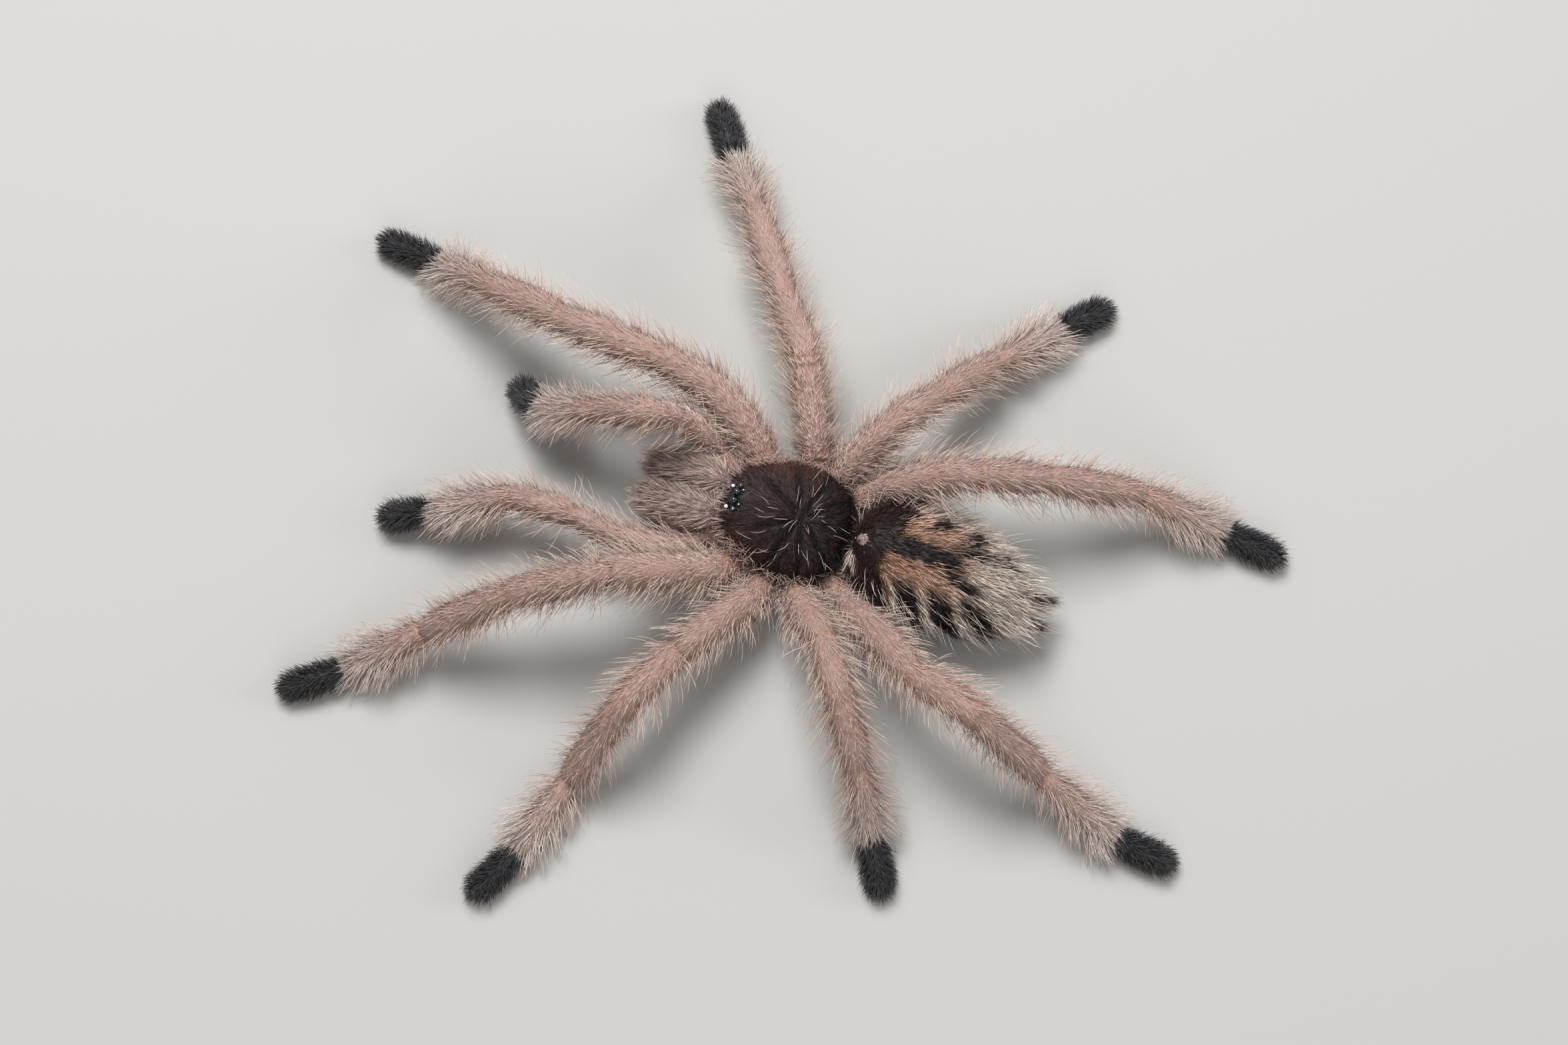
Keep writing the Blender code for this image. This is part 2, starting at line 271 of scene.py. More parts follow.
def evaluated_shape(obj: Object) -> Shape:
    """Reads an object with its modifiers applied.

    Args:
        obj: An object at the origin.

    Returns:
        Its evaluated mesh.
    """
    graph = bpy.context.evaluated_depsgraph_get()
    mesh = bpy.data.meshes.new_from_object(obj.evaluated_get(graph))
    shape = Shape.of_mesh(mesh)
    bpy.data.meshes.remove(mesh)
    return shape


def discard(*objects: Object) -> None:
    """Removes temporary objects with their meshes."""
    for obj in objects:
        bpy.data.meshes.remove(obj.data, do_unlink=True)


def plain_shape(points: Array, faces: list) -> Shape:
    """The surface that points and faces make.

    Args:
        points: Its vertices.
        faces: Its faces, as lists of vertex numbers.

    Returns:
        The surface.
    """
    work = temporary_object(points, faces)
    shape = evaluated_shape(work)
    discard(work)
    return shape


def ball_faces(ball: bmesh.types.BMesh) -> list[list[int]]:
    """Puts a ball's faces in an order that is the same each time, which Blender's own isn't.

    Args:
        ball: The ball.

    Returns:
        Its faces, as lists of vertex numbers.
    """
    faces = []
    for face in ball.faces:
        corners = [vert.index for vert in face.verts]
        first = corners.index(min(corners))
        faces.append(corners[first:] + corners[:first])
    return sorted(faces)


def ball_form(middle: Array, half_sizes: tuple, grain: tuple[int, int]) -> Form:
    """Makes a ball.

    Args:
        middle: Its middle.
        half_sizes: Half its width, length and height.
        grain: How many faces it has round it, and from pole to pole.

    Returns:
        Its points and faces.
    """
    ball = bmesh.new()
    bmesh.ops.create_uvsphere(ball, u_segments=grain[0], v_segments=grain[1], radius=1.0)
    points = np.array([vert.co for vert in ball.verts]) * half_sizes + middle
    faces = ball_faces(ball)
    ball.free()
    return points, faces


def fine_shell(node: str, voxel: float, inset: float, rounds: int = 3) -> Shape:
    """A smooth close-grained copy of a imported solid.

    Args:
        node: The solid's name.
        voxel: The grain in millimetres.
        inset: How far the surface is drawn in.
        rounds: How often it is smoothed.

    Returns:
        The new surface.
    """
    solid = Shape.of_node(node)
    work = temporary_object(solid.points, solid.triangles.tolist())
    weld = work.modifiers.new("weld", "WELD")
    weld.merge_threshold = WELD_REACH
    remesh = work.modifiers.new("remesh", "REMESH")
    remesh.mode = "VOXEL"
    remesh.voxel_size = voxel
    smooth = work.modifiers.new("smooth", "SMOOTH")
    smooth.factor = 0.5
    smooth.iterations = rounds
    shape = evaluated_shape(work)
    discard(work)
    shape.points = shape.points - shape.normals * inset
    return shape


def build_mesh(
    name: str,
    points: Array,
    loops: Array,
    starts: Array,
    marks: dict[str, Array],
    patch: Array | None = None,
) -> Mesh:
    """Fills a mesh in metres from arrays in millimetres.

    Args:
        name: The mesh's name.
        points: Its vertices.
        loops: The vertex of each face corner.
        starts: Where each face's corners start.
        marks: A number for each vertex, under each attribute's name.
        patch: The OFBake coordinates of each face corner.

    Returns:
        The smooth-shaded mesh.
    """
    mesh = bpy.data.meshes.new(name)
    mesh.vertices.add(len(points))
    mesh.vertices.foreach_set("co", (points * MM).astype(np.float32).ravel())
    mesh.loops.add(len(loops))
    mesh.loops.foreach_set("vertex_index", loops.astype(np.int32))
    mesh.polygons.add(len(starts))
    mesh.polygons.foreach_set("loop_start", starts.astype(np.int32))
    mesh.update(calc_edges=True)
    mesh.shade_smooth()
    for label, values in marks.items():
        layer = mesh.attributes.new(label, "FLOAT", "POINT")
        layer.data.foreach_set("value", values.astype(np.float32))
    if patch is not None:
        layer = mesh.uv_layers.new(name="OFBake")
        layer.data.foreach_set("uv", patch.astype(np.float32).ravel())
    return mesh


def show_piece(name: str, mesh: Mesh, finish: str, slot: Slot, nodes: tuple = ()) -> None:
    """Puts a finished piece in the scene.

    Args:
        name: The piece's name.
        mesh: Its mesh in metres.
        finish: The name of its finish.
        slot: Not used.
        nodes: The solids that it stands for.
    """
    mesh.materials.append(MATERIALS[finish])
    piece = bpy.data.objects.new(name, mesh)
    bpy.context.scene.collection.objects.link(piece)
    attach(piece, BODY)
    if nodes:
        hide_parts(*nodes)
    LOG.info("%s: %d faces", name, len(mesh.polygons))


def shell_mesh(name: str, shape: Shape, marks: dict[str, Array]) -> Mesh:
    """Turns a shape into a mesh in metres.

    Args:
        name: The mesh's name.
        shape: The surface.
        marks: A number for each vertex, under each attribute's name.

    Returns:
        The mesh.
    """
    loops = shape.triangles.ravel()
    starts = np.arange(len(shape.triangles)) * 3
    return build_mesh(name, shape.points, loops, starts, marks)


# ---- hairs


LIFT_SPREAD = 0.25
LIFT_LIMITS = (-0.2, 1.5)
DROOP_GAIN = 1.6
CURL_GAIN = 2.0
CLUMP_SIZE = 4
CLUMP_POWER = 1.3
TAPER = 0.55
TAPER_POWER = 1.4


@dataclass(frozen=True)
class Hair:
    """How one kind of hair grows, in millimetres and radians."""

    density: float
    length: Range
    width: float
    lift: float
    bands: int = 2
    droop: float = 0.35
    wander: float = 0.25
    curl: float = 0.0
    sink: float = 0.03
    clump: float = 0.0


@dataclass
class Roots:
    """Where hairs grow, which way they lie and what their skin is marked with."""

    places: Array
    normals: Array
    lies: Array
    spots: Array
    marks: dict[str, Array]

    def keep(self, chosen: Array) -> "Roots":
        """Only the chosen roots."""
        rows = (self.places[chosen], self.normals[chosen], self.lies[chosen], self.spots[chosen])
        return Roots(*rows, {label: values[chosen] for label, values in self.marks.items()})


@dataclass
class Coat:
    """One joined mesh of three-sided tapering hairs."""

    name: str
    slot: Slot
    finish_name: str
    parts: list[list] = field(default_factory=lambda: [[], [], [], []])
    marks: dict[str, list] = field(default_factory=dict)
    size: int = 0

    def grow(
        self, roots: Roots, hair: Hair, scale: Array | float = 1.0, raised: Array | float = 1.0
    ) -> None:
        """Adds one hair at each root.

        Args:
            roots: Where the hairs grow.
            hair: Their kind.
            scale: What each hair's length is multiplied by.
            raised: What its lift off the skin is multiplied by.
        """
        count = len(roots.places)
        if not count:
            return
        lengths = DICE.uniform(*hair.length, count) * scale
        lift = hair.lift * raised * (1.0 + LIFT_SPREAD * DICE.standard_normal(count))
        yaw = hair.wander * DICE.standard_normal(count)
        curl = hair.curl * DICE.standard_normal(count)
        lies = unit(roots.lies - roots.normals * (roots.lies * roots.normals).sum(1)[:, None])
        across = np.cross(roots.normals, lies)
        path = [roots.places - roots.normals * hair.sink]
        headings = []
        for band in range(hair.bands):
            share = (band + 0.5) / hair.bands
            sunk = lift * (1.0 - hair.droop * share * DROOP_GAIN)
            angle = np.clip(sunk, *LIFT_LIMITS)[:, None]
            turn = (yaw + curl * share * CURL_GAIN)[:, None]
            level = np.cos(turn) * lies + np.sin(turn) * across
            heading = np.cos(angle) * level + np.sin(angle) * roots.normals
            headings.append(heading)
            reached = path[-1] + heading * (lengths / hair.bands)[:, None]
            reached[:, 2] = np.maximum(reached[:, 2], FLOOR_CLEARANCE + hair.width)
            path.append(reached)
        if hair.clump:
            path = self._gather(path, hair)
        self._add_rings(roots, hair, path, headings)

    def _gather(self, path: list, hair: Hair) -> list:
        """Draws the ends of neighbouring hairs together.

        Args:
            path: The places of every hair, from the roots to the ends.
            hair: Their kind.

        Returns:
            The places drawn together.
        """
        leaders = np.arange(0, len(path[0]), CLUMP_SIZE)
        tree = KDTree(len(leaders))
        for leader in leaders:
            tree.insert(path[0][leader], int(leader))
        tree.balance()
        leader_of = np.array([tree.find(place)[1] for place in path[0]])
        drawn = [path[0]]
        for band, places in enumerate(path[1:], start=1):
            share = hair.clump * (band / hair.bands) ** CLUMP_POWER
            drawn.append(places + share * (places[leader_of] - places))
        return drawn

    def _add_rings(self, roots: Roots, hair: Hair, path: list, headings: list) -> None:
        """Wraps a three-sided tapering spike round each hair's path.

        Args:
            roots: Where the hairs grow.
            hair: Their kind.
            path: The places of every hair, from the roots to the ends.
            headings: Every hair's direction in each band.
        """
        count = len(roots.places)
        rings = []
        for band in range(hair.bands):
            side = unit(np.cross(headings[band], roots.normals))
            over = np.cross(side, headings[band])
            taper = 1.0 - TAPER * (band / hair.bands) ** TAPER_POWER
            for corner in range(3):
                angle = math.radians(90 + 120 * corner)
                offset = side * math.cos(angle) + over * math.sin(angle)
                rings.append(path[band] + offset * (hair.width / 2 * taper))
        rings.append(path[-1])
        points = np.stack(rings, axis=1)
        points[..., 2] = np.maximum(points[..., 2], FLOOR_CLEARANCE)
        per_hair = 3 * hair.bands + 1
        faces = spike_faces(hair.bands)
        pattern = np.concatenate([np.array(face) for face in faces])
        offsets = self.size + np.arange(count)[:, None] * per_hair
        loops = (offsets + pattern[None]).ravel()
        totals = np.tile([len(face) for face in faces], count)
        steps = np.minimum(np.arange(per_hair) // 3, hair.bands) / hair.bands
        corners = np.where(np.arange(per_hair) == per_hair - 1, 1, np.arange(per_hair) % 3) / 2
        local = np.stack([corners - 0.5, steps - 0.5], axis=1) * TUFT_PATCH
        spots = roots.spots[:, None] + local[None]
        made = (points.reshape(-1, 3), loops, totals, spots[:, pattern].reshape(-1, 2))
        for part, more in zip(self.parts, made):
            part.append(more)
        marks = {
            "tip": np.tile(steps, count),
            "tone": np.repeat(DICE.random(count), per_hair),
        }
        for label, values in roots.marks.items():
            marks[label] = np.repeat(values, per_hair)
        for label, values in marks.items():
            self.marks.setdefault(label, []).append(values)
        self.size += count * per_hair

    def finish(self) -> None:
        """Turns the grown hairs into one piece."""
        points, loops, totals, patches = map(np.concatenate, self.parts)
        starts = np.concatenate([[0], np.cumsum(totals)[:-1]])
        marks = {label: np.concatenate(values) for label, values in self.marks.items()}
        mesh = build_mesh(self.name, points, loops, starts, marks, patches)
        show_piece(self.name, mesh, self.finish_name, self.slot)


def spike_faces(bands: int) -> list[list[int]]:
    """The faces of a closed three-sided spike.

    Args:
        bands: How many lengths it has.

    Returns:
        Lists of vertex numbers, ring by ring from the root.
    """
    faces = [[2, 1, 0]]
    for band in range(bands - 1):
        low = 3 * band
        for corner in range(3):
            after = (corner + 1) % 3
            faces.append([low + corner, low + after, low + 3 + after, low + 3 + corner])
    low = 3 * (bands - 1)
    for corner in range(3):
        faces.append([low + corner, low + (corner + 1) % 3, 3 * bands])
    return faces


# ---- shader trees


class Wires:
    """Adds nodes to one shader tree and links them."""

    def __init__(self, tree: Tree, groups: "Groups | None" = None) -> None:
        """Takes the tree to work in, and the effects that it may use."""
        self.tree = tree
        self.groups = groups

    def feed(self, socket: Socket, value: object) -> None:
        """Links a socket to another, or gives it a constant.

        Args:
            socket: The input.
            value: A socket or a constant.
        """
        if isinstance(value, Socket):
            self.tree.links.new(value, socket)
        else:
            socket.default_value = value

    def node(self, kind: str, inputs: dict | None = None, **settings: object) -> Node:
        """Adds a node.

        Args:
            kind: Blender's name for the node's type.
            inputs: Values or sockets for its inputs, by name or number.
            **settings: Values for its properties.

        Returns:
            The node.
        """
        made = self.tree.nodes.new(kind)
        for label, value in settings.items():
            setattr(made, label, value)
        for label, value in (inputs or {}).items():
            self.feed(made.inputs[label], value)
        return made

    def math(self, operation: str, *values: object, clamp: bool = False) -> Socket:
        """A Math node's result."""
        settings = {"operation": operation, "use_clamp": clamp}
        return self.node("ShaderNodeMath", dict(enumerate(values)), **settings).outputs[0]

    def times(self, *values: object) -> Socket:
        """The product of two or more values."""
        return self._fold("MULTIPLY", values)

    def most(self, *values: object) -> Socket:
        """The largest of two or more values."""
        return self._fold("MAXIMUM", values)

    def _fold(self, operation: str, values: tuple) -> Socket:
        """Takes values together, two at a time.

        Args:
            operation: The Math node's operation.
            values: Sockets or constants.

        Returns:
            The result.
        """
        result = values[0]
        for value in values[1:]:
            result = self.math(operation, result, value)
        return result

    def line(self, value: object, slope: object, start: object) -> Socket:
        """The value times the slope, plus the start."""
        return self.math("MULTIPLY_ADD", value, slope, start)

    def less(self, value: object, taken: object, clamp: bool = False) -> Socket:
        """The value with another taken away."""
        return self.math("SUBTRACT", value, taken, clamp=clamp)

    def rise(self, value: object, low: float, high: float) -> Socket:
        """Zero up to low, one from high, and smooth between them."""
        inputs = {"Value": value, "From Min": low, "From Max": high}
        return self.node("ShaderNodeMapRange", inputs, interpolation_type="SMOOTHSTEP").outputs[0]

    def fall(self, value: object, low: float, high: float) -> Socket:
        """One up to low, zero from high, and smooth between them."""
        return self.less(1.0, self.rise(value, low, high))

    def between(self, value: object, low: float, high: float, soft: float) -> Socket:
        """One between low and high, with edges this soft."""
        starts = self.rise(value, low - soft, low + soft)
        return self.times(starts, self.fall(value, high - soft, high + soft))

    def blend(self, share: object, first: object, second: object) -> Socket:
        """Mixes two colours."""
        made = self.node("ShaderNodeMix", {0: share, 6: first, 7: second}, data_type="RGBA")
        return made.outputs[2]

    def mark(self, name: str) -> Socket:
        """Reads a number from the mesh."""
        return self.node("ShaderNodeAttribute", attribute_name=name).outputs["Fac"]

    def marks(self, *names: str) -> dict[str, Socket]:
        """Reads several numbers from the mesh, for a group's inputs of the same names."""
        return {name.capitalize(): self.mark(name) for name in names}

    def deepen(self, shade: object, value: object) -> Socket:
        """A colour whose brightness is multiplied by the value."""
        made = self.node("ShaderNodeHueSaturation", {"Value": value, "Color": shade})
        return made.outputs["Color"]

    def noise(self, size: float, detail: float = 2.0, rough: float = 0.5) -> Socket:
        """Adds a noise texture.

        Args:
            size: The size of its lumps in millimetres.
            detail: How many finer layers it has.
            rough: How strong they are.

        Returns:
            The noise, from zero to one.
        """
        place = self.node("ShaderNodeTexCoord").outputs["Object"]
        inputs = {"Vector": place, "Scale": 1.0 / (size * MM), "Detail": detail, "Roughness": rough}
        return self.node("ShaderNodeTexNoise", inputs).outputs["Fac"]

    def use(self, group: Tree, inputs: dict) -> Node:
        """Places a node group with its own values."""
        return self.node("ShaderNodeGroup", inputs, node_tree=group)

    def grain(self, pits: float, lumps: float) -> Socket:
        """The height of skin grain with pits and lumps this strong."""
        return self.use(self.groups.fine_relief, {"Pits": pits, "Lumps": lumps}).outputs["Height"]

    def leg_color(self, wander: Socket) -> Socket:
        """The legs' markings where the mesh is, with edges that wander."""
        inputs = self.marks("joint", "around", "toe", "base") | {"Wander": wander}
        return self.use(self.groups.leg_pattern, inputs).outputs["Color"]

    def tiger(self, wander: Socket) -> dict[str, Socket]:
        """The abdomen's markings where the mesh is, with edges that wander."""
        inputs = self.marks("along", "around") | {"Wander": wander}
        return self.use(self.groups.abdomen_pattern, inputs).outputs


def color(red: float, green: float, blue: float) -> tuple[float, float, float, float]:
    """An opaque colour."""
    return (red, green, blue, 1.0)


SADDLE_HAIR = color(0.022, 0.009, 0.009)
BLACK_HAIR = color(0.009, 0.008, 0.010)
ORANGE_HAIR = color(0.56, 0.25, 0.125)
CREAM_HAIR = color(0.80, 0.67, 0.57)
BELLY_HAIR = color(0.23, 0.14, 0.11)
MAUVE_SKIN = color(0.49, 0.31, 0.275)
TAN_SKIN = color(0.42, 0.235, 0.16)
SKIN_SHADOW = color(0.17, 0.085, 0.065)
SPOT_HAIR = color(0.7, 0.55, 0.48)
FROST_HAIR = color(0.68, 0.61, 0.58)
# Painted shade deep in the abdomen's coat.
PAINTED_ROOT_SHADE = color(0.055, 0.022, 0.014)
SLATE = color(0.022, 0.026, 0.034)
JOINT_FLUSH = color(0.5, 0.27, 0.17)
BASE_FLUSH = color(0.5, 0.225, 0.145)
RING_SKIN = color(0.74, 0.56, 0.44)
TOE_SKIN = color(0.014, 0.015, 0.019)
FLOOR_GREY = color(0.5, 0.49, 0.475)
DEEP_SCATTER = (1.0, 0.5, 0.35)


@dataclass(frozen=True)
class TigerMarks:
    """The abdomen's markings: shares of its length, and angles from the middle of its back."""

    wander: Range = (0.05, 0.25)
    saddle_edge: Range = (0.2, 0.28)
    saddle_slant: float = 0.03
    stripe_width: Range = (-0.2, 0.29)
    stripe_soft: Range = (-0.03, 0.04)
    stripe_end: Range = (0.58, 0.66)
    tooth_rate: float = 62.0
    tooth_depth: float = 0.035
    streak_slope: float = -1.2
    streak_width: Three = (-0.5, -0.25, 0.04)
    streak_reach: Three = (0.53, 0.74, 0.03)
    bar_pitch: float = 0.185
    bar_lean: float = -0.1
    bar_edge: Range = (0.28, 0.36)
    bar_width: Three = (0.7, 1.85, 0.12)
    bar_reach: Three = (0.1, 0.85, 0.03)
    right_shift: float = 0.09
    right_thinning: float = 0.09
    right_lowering: Range = (2.1, -1.1)
    spots: tuple[Three, ...] = ((0.075, 0.12, 0.19), (0.048, 1.02, 0.24))
    spot_length: float = 0.03
    spot_edge: Range = (0.7, 1.4)
    pale_flank: Range = (0.55, 1.35)
    pale_start: Range = (0.15, 0.4)
    pale_rear: Range = (0.5, 0.82)
    belly: Range = (1.9, 2.4)
    blackening: Range = (0.16, 0.32)


@dataclass(frozen=True)
class LegMarks:
    """The legs' markings: angles from the top, millimetres from a joint, and strengths."""

    mottle: float = 2.4
    tan_side: Range = (0.5, 1.9)
    flush_reach: Range = (0.05, 0.35)
    joint_flush: float = 0.4
    base_flush: float = 0.6
    ring_reach: Three = (0.04, 0.11, 0.02)
    ring_side: Range = (1.0, 1.9)
    ring_gaps: Range = (0.35, 0.6)
    ring: float = 0.3
    toe_mottle: float = 0.5
    toe_edge: Range = (0.35, 0.65)


class Groups:
    """The shader effects that several materials share."""

    def __init__(self) -> None:
        """Builds each group once."""
        self._build_abdomen_pattern()
        self._build_leg_pattern()
        self._build_hair_tone()
        self._build_fine_relief()

    def _start(self, name: str, inputs: dict, outputs: dict) -> tuple[Wires, dict, Node]:
        """Makes an empty group.

        Args:
            name: The group's name.
            inputs: The default of each input, whose kind is a colour for a tuple and else a number.
            outputs: The kind of each output.

        Returns:
            Its wires, its input sockets by name, and its output node.
        """
        tree = bpy.data.node_groups.new(name, "ShaderNodeTree")
        for label, default in inputs.items():
            kind = "NodeSocketColor" if isinstance(default, tuple) else "NodeSocketFloat"
            socket = tree.interface.new_socket(label, in_out="INPUT", socket_type=kind)
            socket.default_value = default
        for label, kind in outputs.items():
            tree.interface.new_socket(label, in_out="OUTPUT", socket_type=kind)
        wires = Wires(tree)
        entry = wires.node("NodeGroupInput")
        exit_node = wires.node("NodeGroupOutput")
        return wires, entry.outputs, exit_node

    def _build_abdomen_pattern(self) -> None:
        """The tiger pattern: a dark saddle, a middle stripe, flank bars and pale spots."""
        inputs = {"Along": 0.0, "Around": 0.0, "Wander": 0.5}
        outputs = {"Color": "NodeSocketColor", "Dark": "NodeSocketFloat", "Pale": "NodeSocketFloat"}
        wires, given, result = self._start("abdomen_pattern", inputs, outputs)
        tiger = TigerMarks()
        wobble = wires.less(given["Wander"], 0.5)
        along = wires.line(wobble, tiger.wander[0], given["Along"])
        around = wires.line(wobble, tiger.wander[1], given["Around"])
        flank = wires.math("ABSOLUTE", around)
        dark, spots = self._dark_marks(wires, tiger, along, around)
        pale_flank = wires.times(
            wires.rise(flank, *tiger.pale_flank), wires.rise(along, *tiger.pale_start)
        )
        pale = wires.most(pale_flank, wires.rise(along, *tiger.pale_rear))
        belly = wires.rise(flank, *tiger.belly)
        ground = wires.blend(pale, ORANGE_HAIR, CREAM_HAIR)
        ground = wires.blend(belly, ground, BELLY_HAIR)
        ground = wires.blend(spots, ground, SPOT_HAIR)
        shown = wires.times(dark, wires.less(1.0, belly))
        darkest = wires.blend(wires.rise(along, *tiger.blackening), SADDLE_HAIR, BLACK_HAIR)
        wires.feed(result.inputs["Color"], wires.blend(shown, ground, darkest))
        wires.feed(result.inputs["Dark"], shown)
        wires.feed(result.inputs["Pale"], wires.less(pale, belly, clamp=True))
        self.abdomen_pattern = wires.tree

    def _dark_marks(
        self, wires: Wires, tiger: TigerMarks, along: Socket, around: Socket
    ) -> tuple[Socket, Socket]:
        """The dark part of the abdomen's pattern, and the pale spots near its front.

        Args:
            wires: The group's wires.
            tiger: The markings' sizes.
            along: The place from the front at 0 to the rear at 1.
            around: The angle from the middle of the back, positive on the left.

        Returns:
            One where the pattern is dark, and one in the spots.
        """
        flank = wires.math("ABSOLUTE", around)
        slant = wires.math("MINIMUM", wires.most(around, -1.0), 1.0)
        saddle = wires.fall(wires.line(slant, tiger.saddle_slant, along), *tiger.saddle_edge)
        width = wires.line(along, *tiger.stripe_width)
        teeth = wires.math("SINE", wires.times(along, tiger.tooth_rate))
        inside = wires.less(flank, wires.line(teeth, tiger.tooth_depth, width))
        stripe = wires.times(
            wires.fall(inside, *tiger.stripe_soft), wires.fall(along, *tiger.stripe_end)
        )
        streak = wires.times(
            wires.between(wires.line(along, tiger.streak_slope, flank), *tiger.streak_width),
            wires.between(along, *tiger.streak_reach),
        )
        right = wires.math("LESS_THAN", around, 0.0)
        phase = wires.line(wires.less(flank, 1.0), tiger.bar_lean, along)
        phase = wires.math("DIVIDE", wires.line(right, tiger.right_shift, phase), tiger.bar_pitch)
        phase = wires.math("FRACT", wires.math("ADD", phase, 0.5))
        aside = wires.math("ABSOLUTE", wires.less(phase, 0.5))
        aside = wires.line(right, tiger.right_thinning, aside)
        lowered = wires.times(right, wires.line(flank, *tiger.right_lowering))
        bar = wires.times(
            wires.fall(aside, *tiger.bar_edge),
            wires.between(wires.math("ADD", flank, lowered), *tiger.bar_width),
            wires.between(along, *tiger.bar_reach),
        )
        spots = []
        for place, angle, reach in tiger.spots:
            ahead = wires.math("DIVIDE", wires.less(along, place), tiger.spot_length)
            beside = wires.math("DIVIDE", wires.less(around, angle), reach)
            square = wires.line(beside, beside, wires.times(ahead, ahead))
            spots.append(wires.fall(square, *tiger.spot_edge))
        pale = wires.most(*spots)
        return wires.less(wires.most(saddle, stripe, streak, bar), pale, clamp=True), pale

    def _build_leg_pattern(self) -> None:
        """Dusty pink skin: mauve above, tan below, red at the base, pale rings and dark toes."""
        inputs = {"Joint": 1.0, "Around": 0.0, "Toe": 0.0, "Base": 0.0, "Wander": 0.5}
        wires, given, result = self._start("leg_pattern", inputs, {"Color": "NodeSocketColor"})
        leg = LegMarks()
        wobble = wires.less(given["Wander"], 0.5)
        under = wires.line(wobble, leg.mottle, wires.math("ABSOLUTE", given["Around"]))
        near = wires.math("ABSOLUTE", given["Joint"])
        ring = wires.times(
            wires.between(given["Joint"], *leg.ring_reach),
            wires.fall(under, *leg.ring_side),
            wires.rise(given["Wander"], *leg.ring_gaps),
        )
        toe = wires.rise(wires.line(wobble, leg.toe_mottle, given["Toe"]), *leg.toe_edge)
        shade = wires.blend(wires.rise(under, *leg.tan_side), MAUVE_SKIN, TAN_SKIN)
        for share, over in (
            (wires.times(wires.fall(near, *leg.flush_reach), leg.joint_flush), JOINT_FLUSH),
            (wires.times(given["Base"], leg.base_flush), BASE_FLUSH),
            (wires.times(ring, leg.ring), RING_SKIN),
            (toe, TOE_SKIN),
        ):
            shade = wires.blend(share, shade, over)
        wires.feed(result.inputs["Color"], shade)
        self.leg_pattern = wires.tree

    def _build_hair_tone(self) -> None:
        """A hair's colour from root to tip, a little different from hair to hair."""
        inputs = {
            "Root": color(0.2, 0.1, 0.1), "End": color(0.8, 0.7, 0.6),
            "Tip": 0.0, "Tone": 0.5, "Reach": 0.5, "Change": 0.3,
        }
        wires, given, result = self._start("hair_tone", inputs, {"Color": "NodeSocketColor"})
        share = wires.times(wires.math("POWER", given["Tip"], 0.8), given["Reach"])
        shade = wires.blend(share, given["Root"], given["End"])
        gain = wires.line(wires.less(given["Tone"], 0.5), given["Change"], 1.0)
        wires.feed(result.inputs["Color"], wires.deepen(shade, gain))
        self.hair_tone = wires.tree

    def _build_fine_relief(self) -> None:
        """Skin grain: fine pits over soft lumps, as a height."""
        inputs = {"Pits": 0.5, "Lumps": 0.5}
        wires, given, result = self._start("fine_relief", inputs, {"Height": "NodeSocketFloat"})
        pits = wires.times(wires.noise(0.05, 3.0, 0.6), given["Pits"])
        lumps = wires.times(wires.noise(0.4), given["Lumps"])
        wires.feed(result.inputs["Height"], wires.math("ADD", pits, lumps))
        self.fine_relief = wires.tree


# ---- finishes


@dataclass(frozen=True)
class Finish:
    """A Principled material in plain grey, whose subclasses paint its colour and relief."""

    name: str
    roughness: float = 0.5
    sheen: float = 0.0
    coat: float = 0.0
    softness: float = 0.0
    relief: float = 0.0
    shine: float = 0.5

    def paint(self, wires: Wires) -> tuple[object, object]:
        """The colour, and the relief's height or None."""
        return FLOOR_GREY, None

    def material(self, groups: Groups) -> Material:
        """Makes the material.

        Args:
            groups: The shared shader effects.

        Returns:
            The material.
        """
        made = bpy.data.materials.new(self.name)
        made.use_nodes = True
        wires = Wires(made.node_tree, groups)
        shader = made.node_tree.nodes["Principled BSDF"]
        settings = {
            "Roughness": self.roughness, "Sheen Weight": self.sheen,
            "Specular IOR Level": self.shine, "Coat Weight": self.coat,
            "Subsurface Weight": self.softness, "Subsurface Radius": DEEP_SCATTER,
            "Subsurface Scale": 0.25 * MM,
        }
        for label, value in settings.items():
            shader.inputs[label].default_value = value
        shade, height = self.paint(wires)
        wires.feed(shader.inputs["Base Color"], shade)
        if height is not None:
            inputs = {"Strength": self.relief, "Distance": 0.03 * MM, "Height": height}
            bump = wires.node("ShaderNodeBump", inputs)
            wires.feed(shader.inputs["Normal"], bump.outputs["Normal"])
        return made


@dataclass(frozen=True)
class SkinFinish(Finish):
    """The soft skin of the limbs and the abdomen."""

    def paint(self, wires: Wires) -> tuple[object, object]:
        """Leg markings, and the tiger pattern on the abdomen, both darkened by painted shade under
        the coat.

        Args:
            wires: The material's wires.

        Returns:
            The colour, and the relief's height or None.
        """
        wander = wires.noise(0.45, 3.0)
        leg, abdomen = wires.leg_color(wander), wires.tiger(wander)["Color"]
        # Painted shade: the leg skin is drawn 35 % towards a dark brown, hardly at all on the toes,
        # and the abdomen's skin is its tiger colour at 0.38 of its brightness.
        leg_with_painted_shade = wires.blend(wires.line(wires.mark("toe"), -0.33, 0.35), leg, SKIN_SHADOW)
        shade = wires.blend(wires.mark("trunk"), leg_with_painted_shade, wires.deepen(abdomen, 0.38))
        return shade, wires.grain(0.7, 0.9)


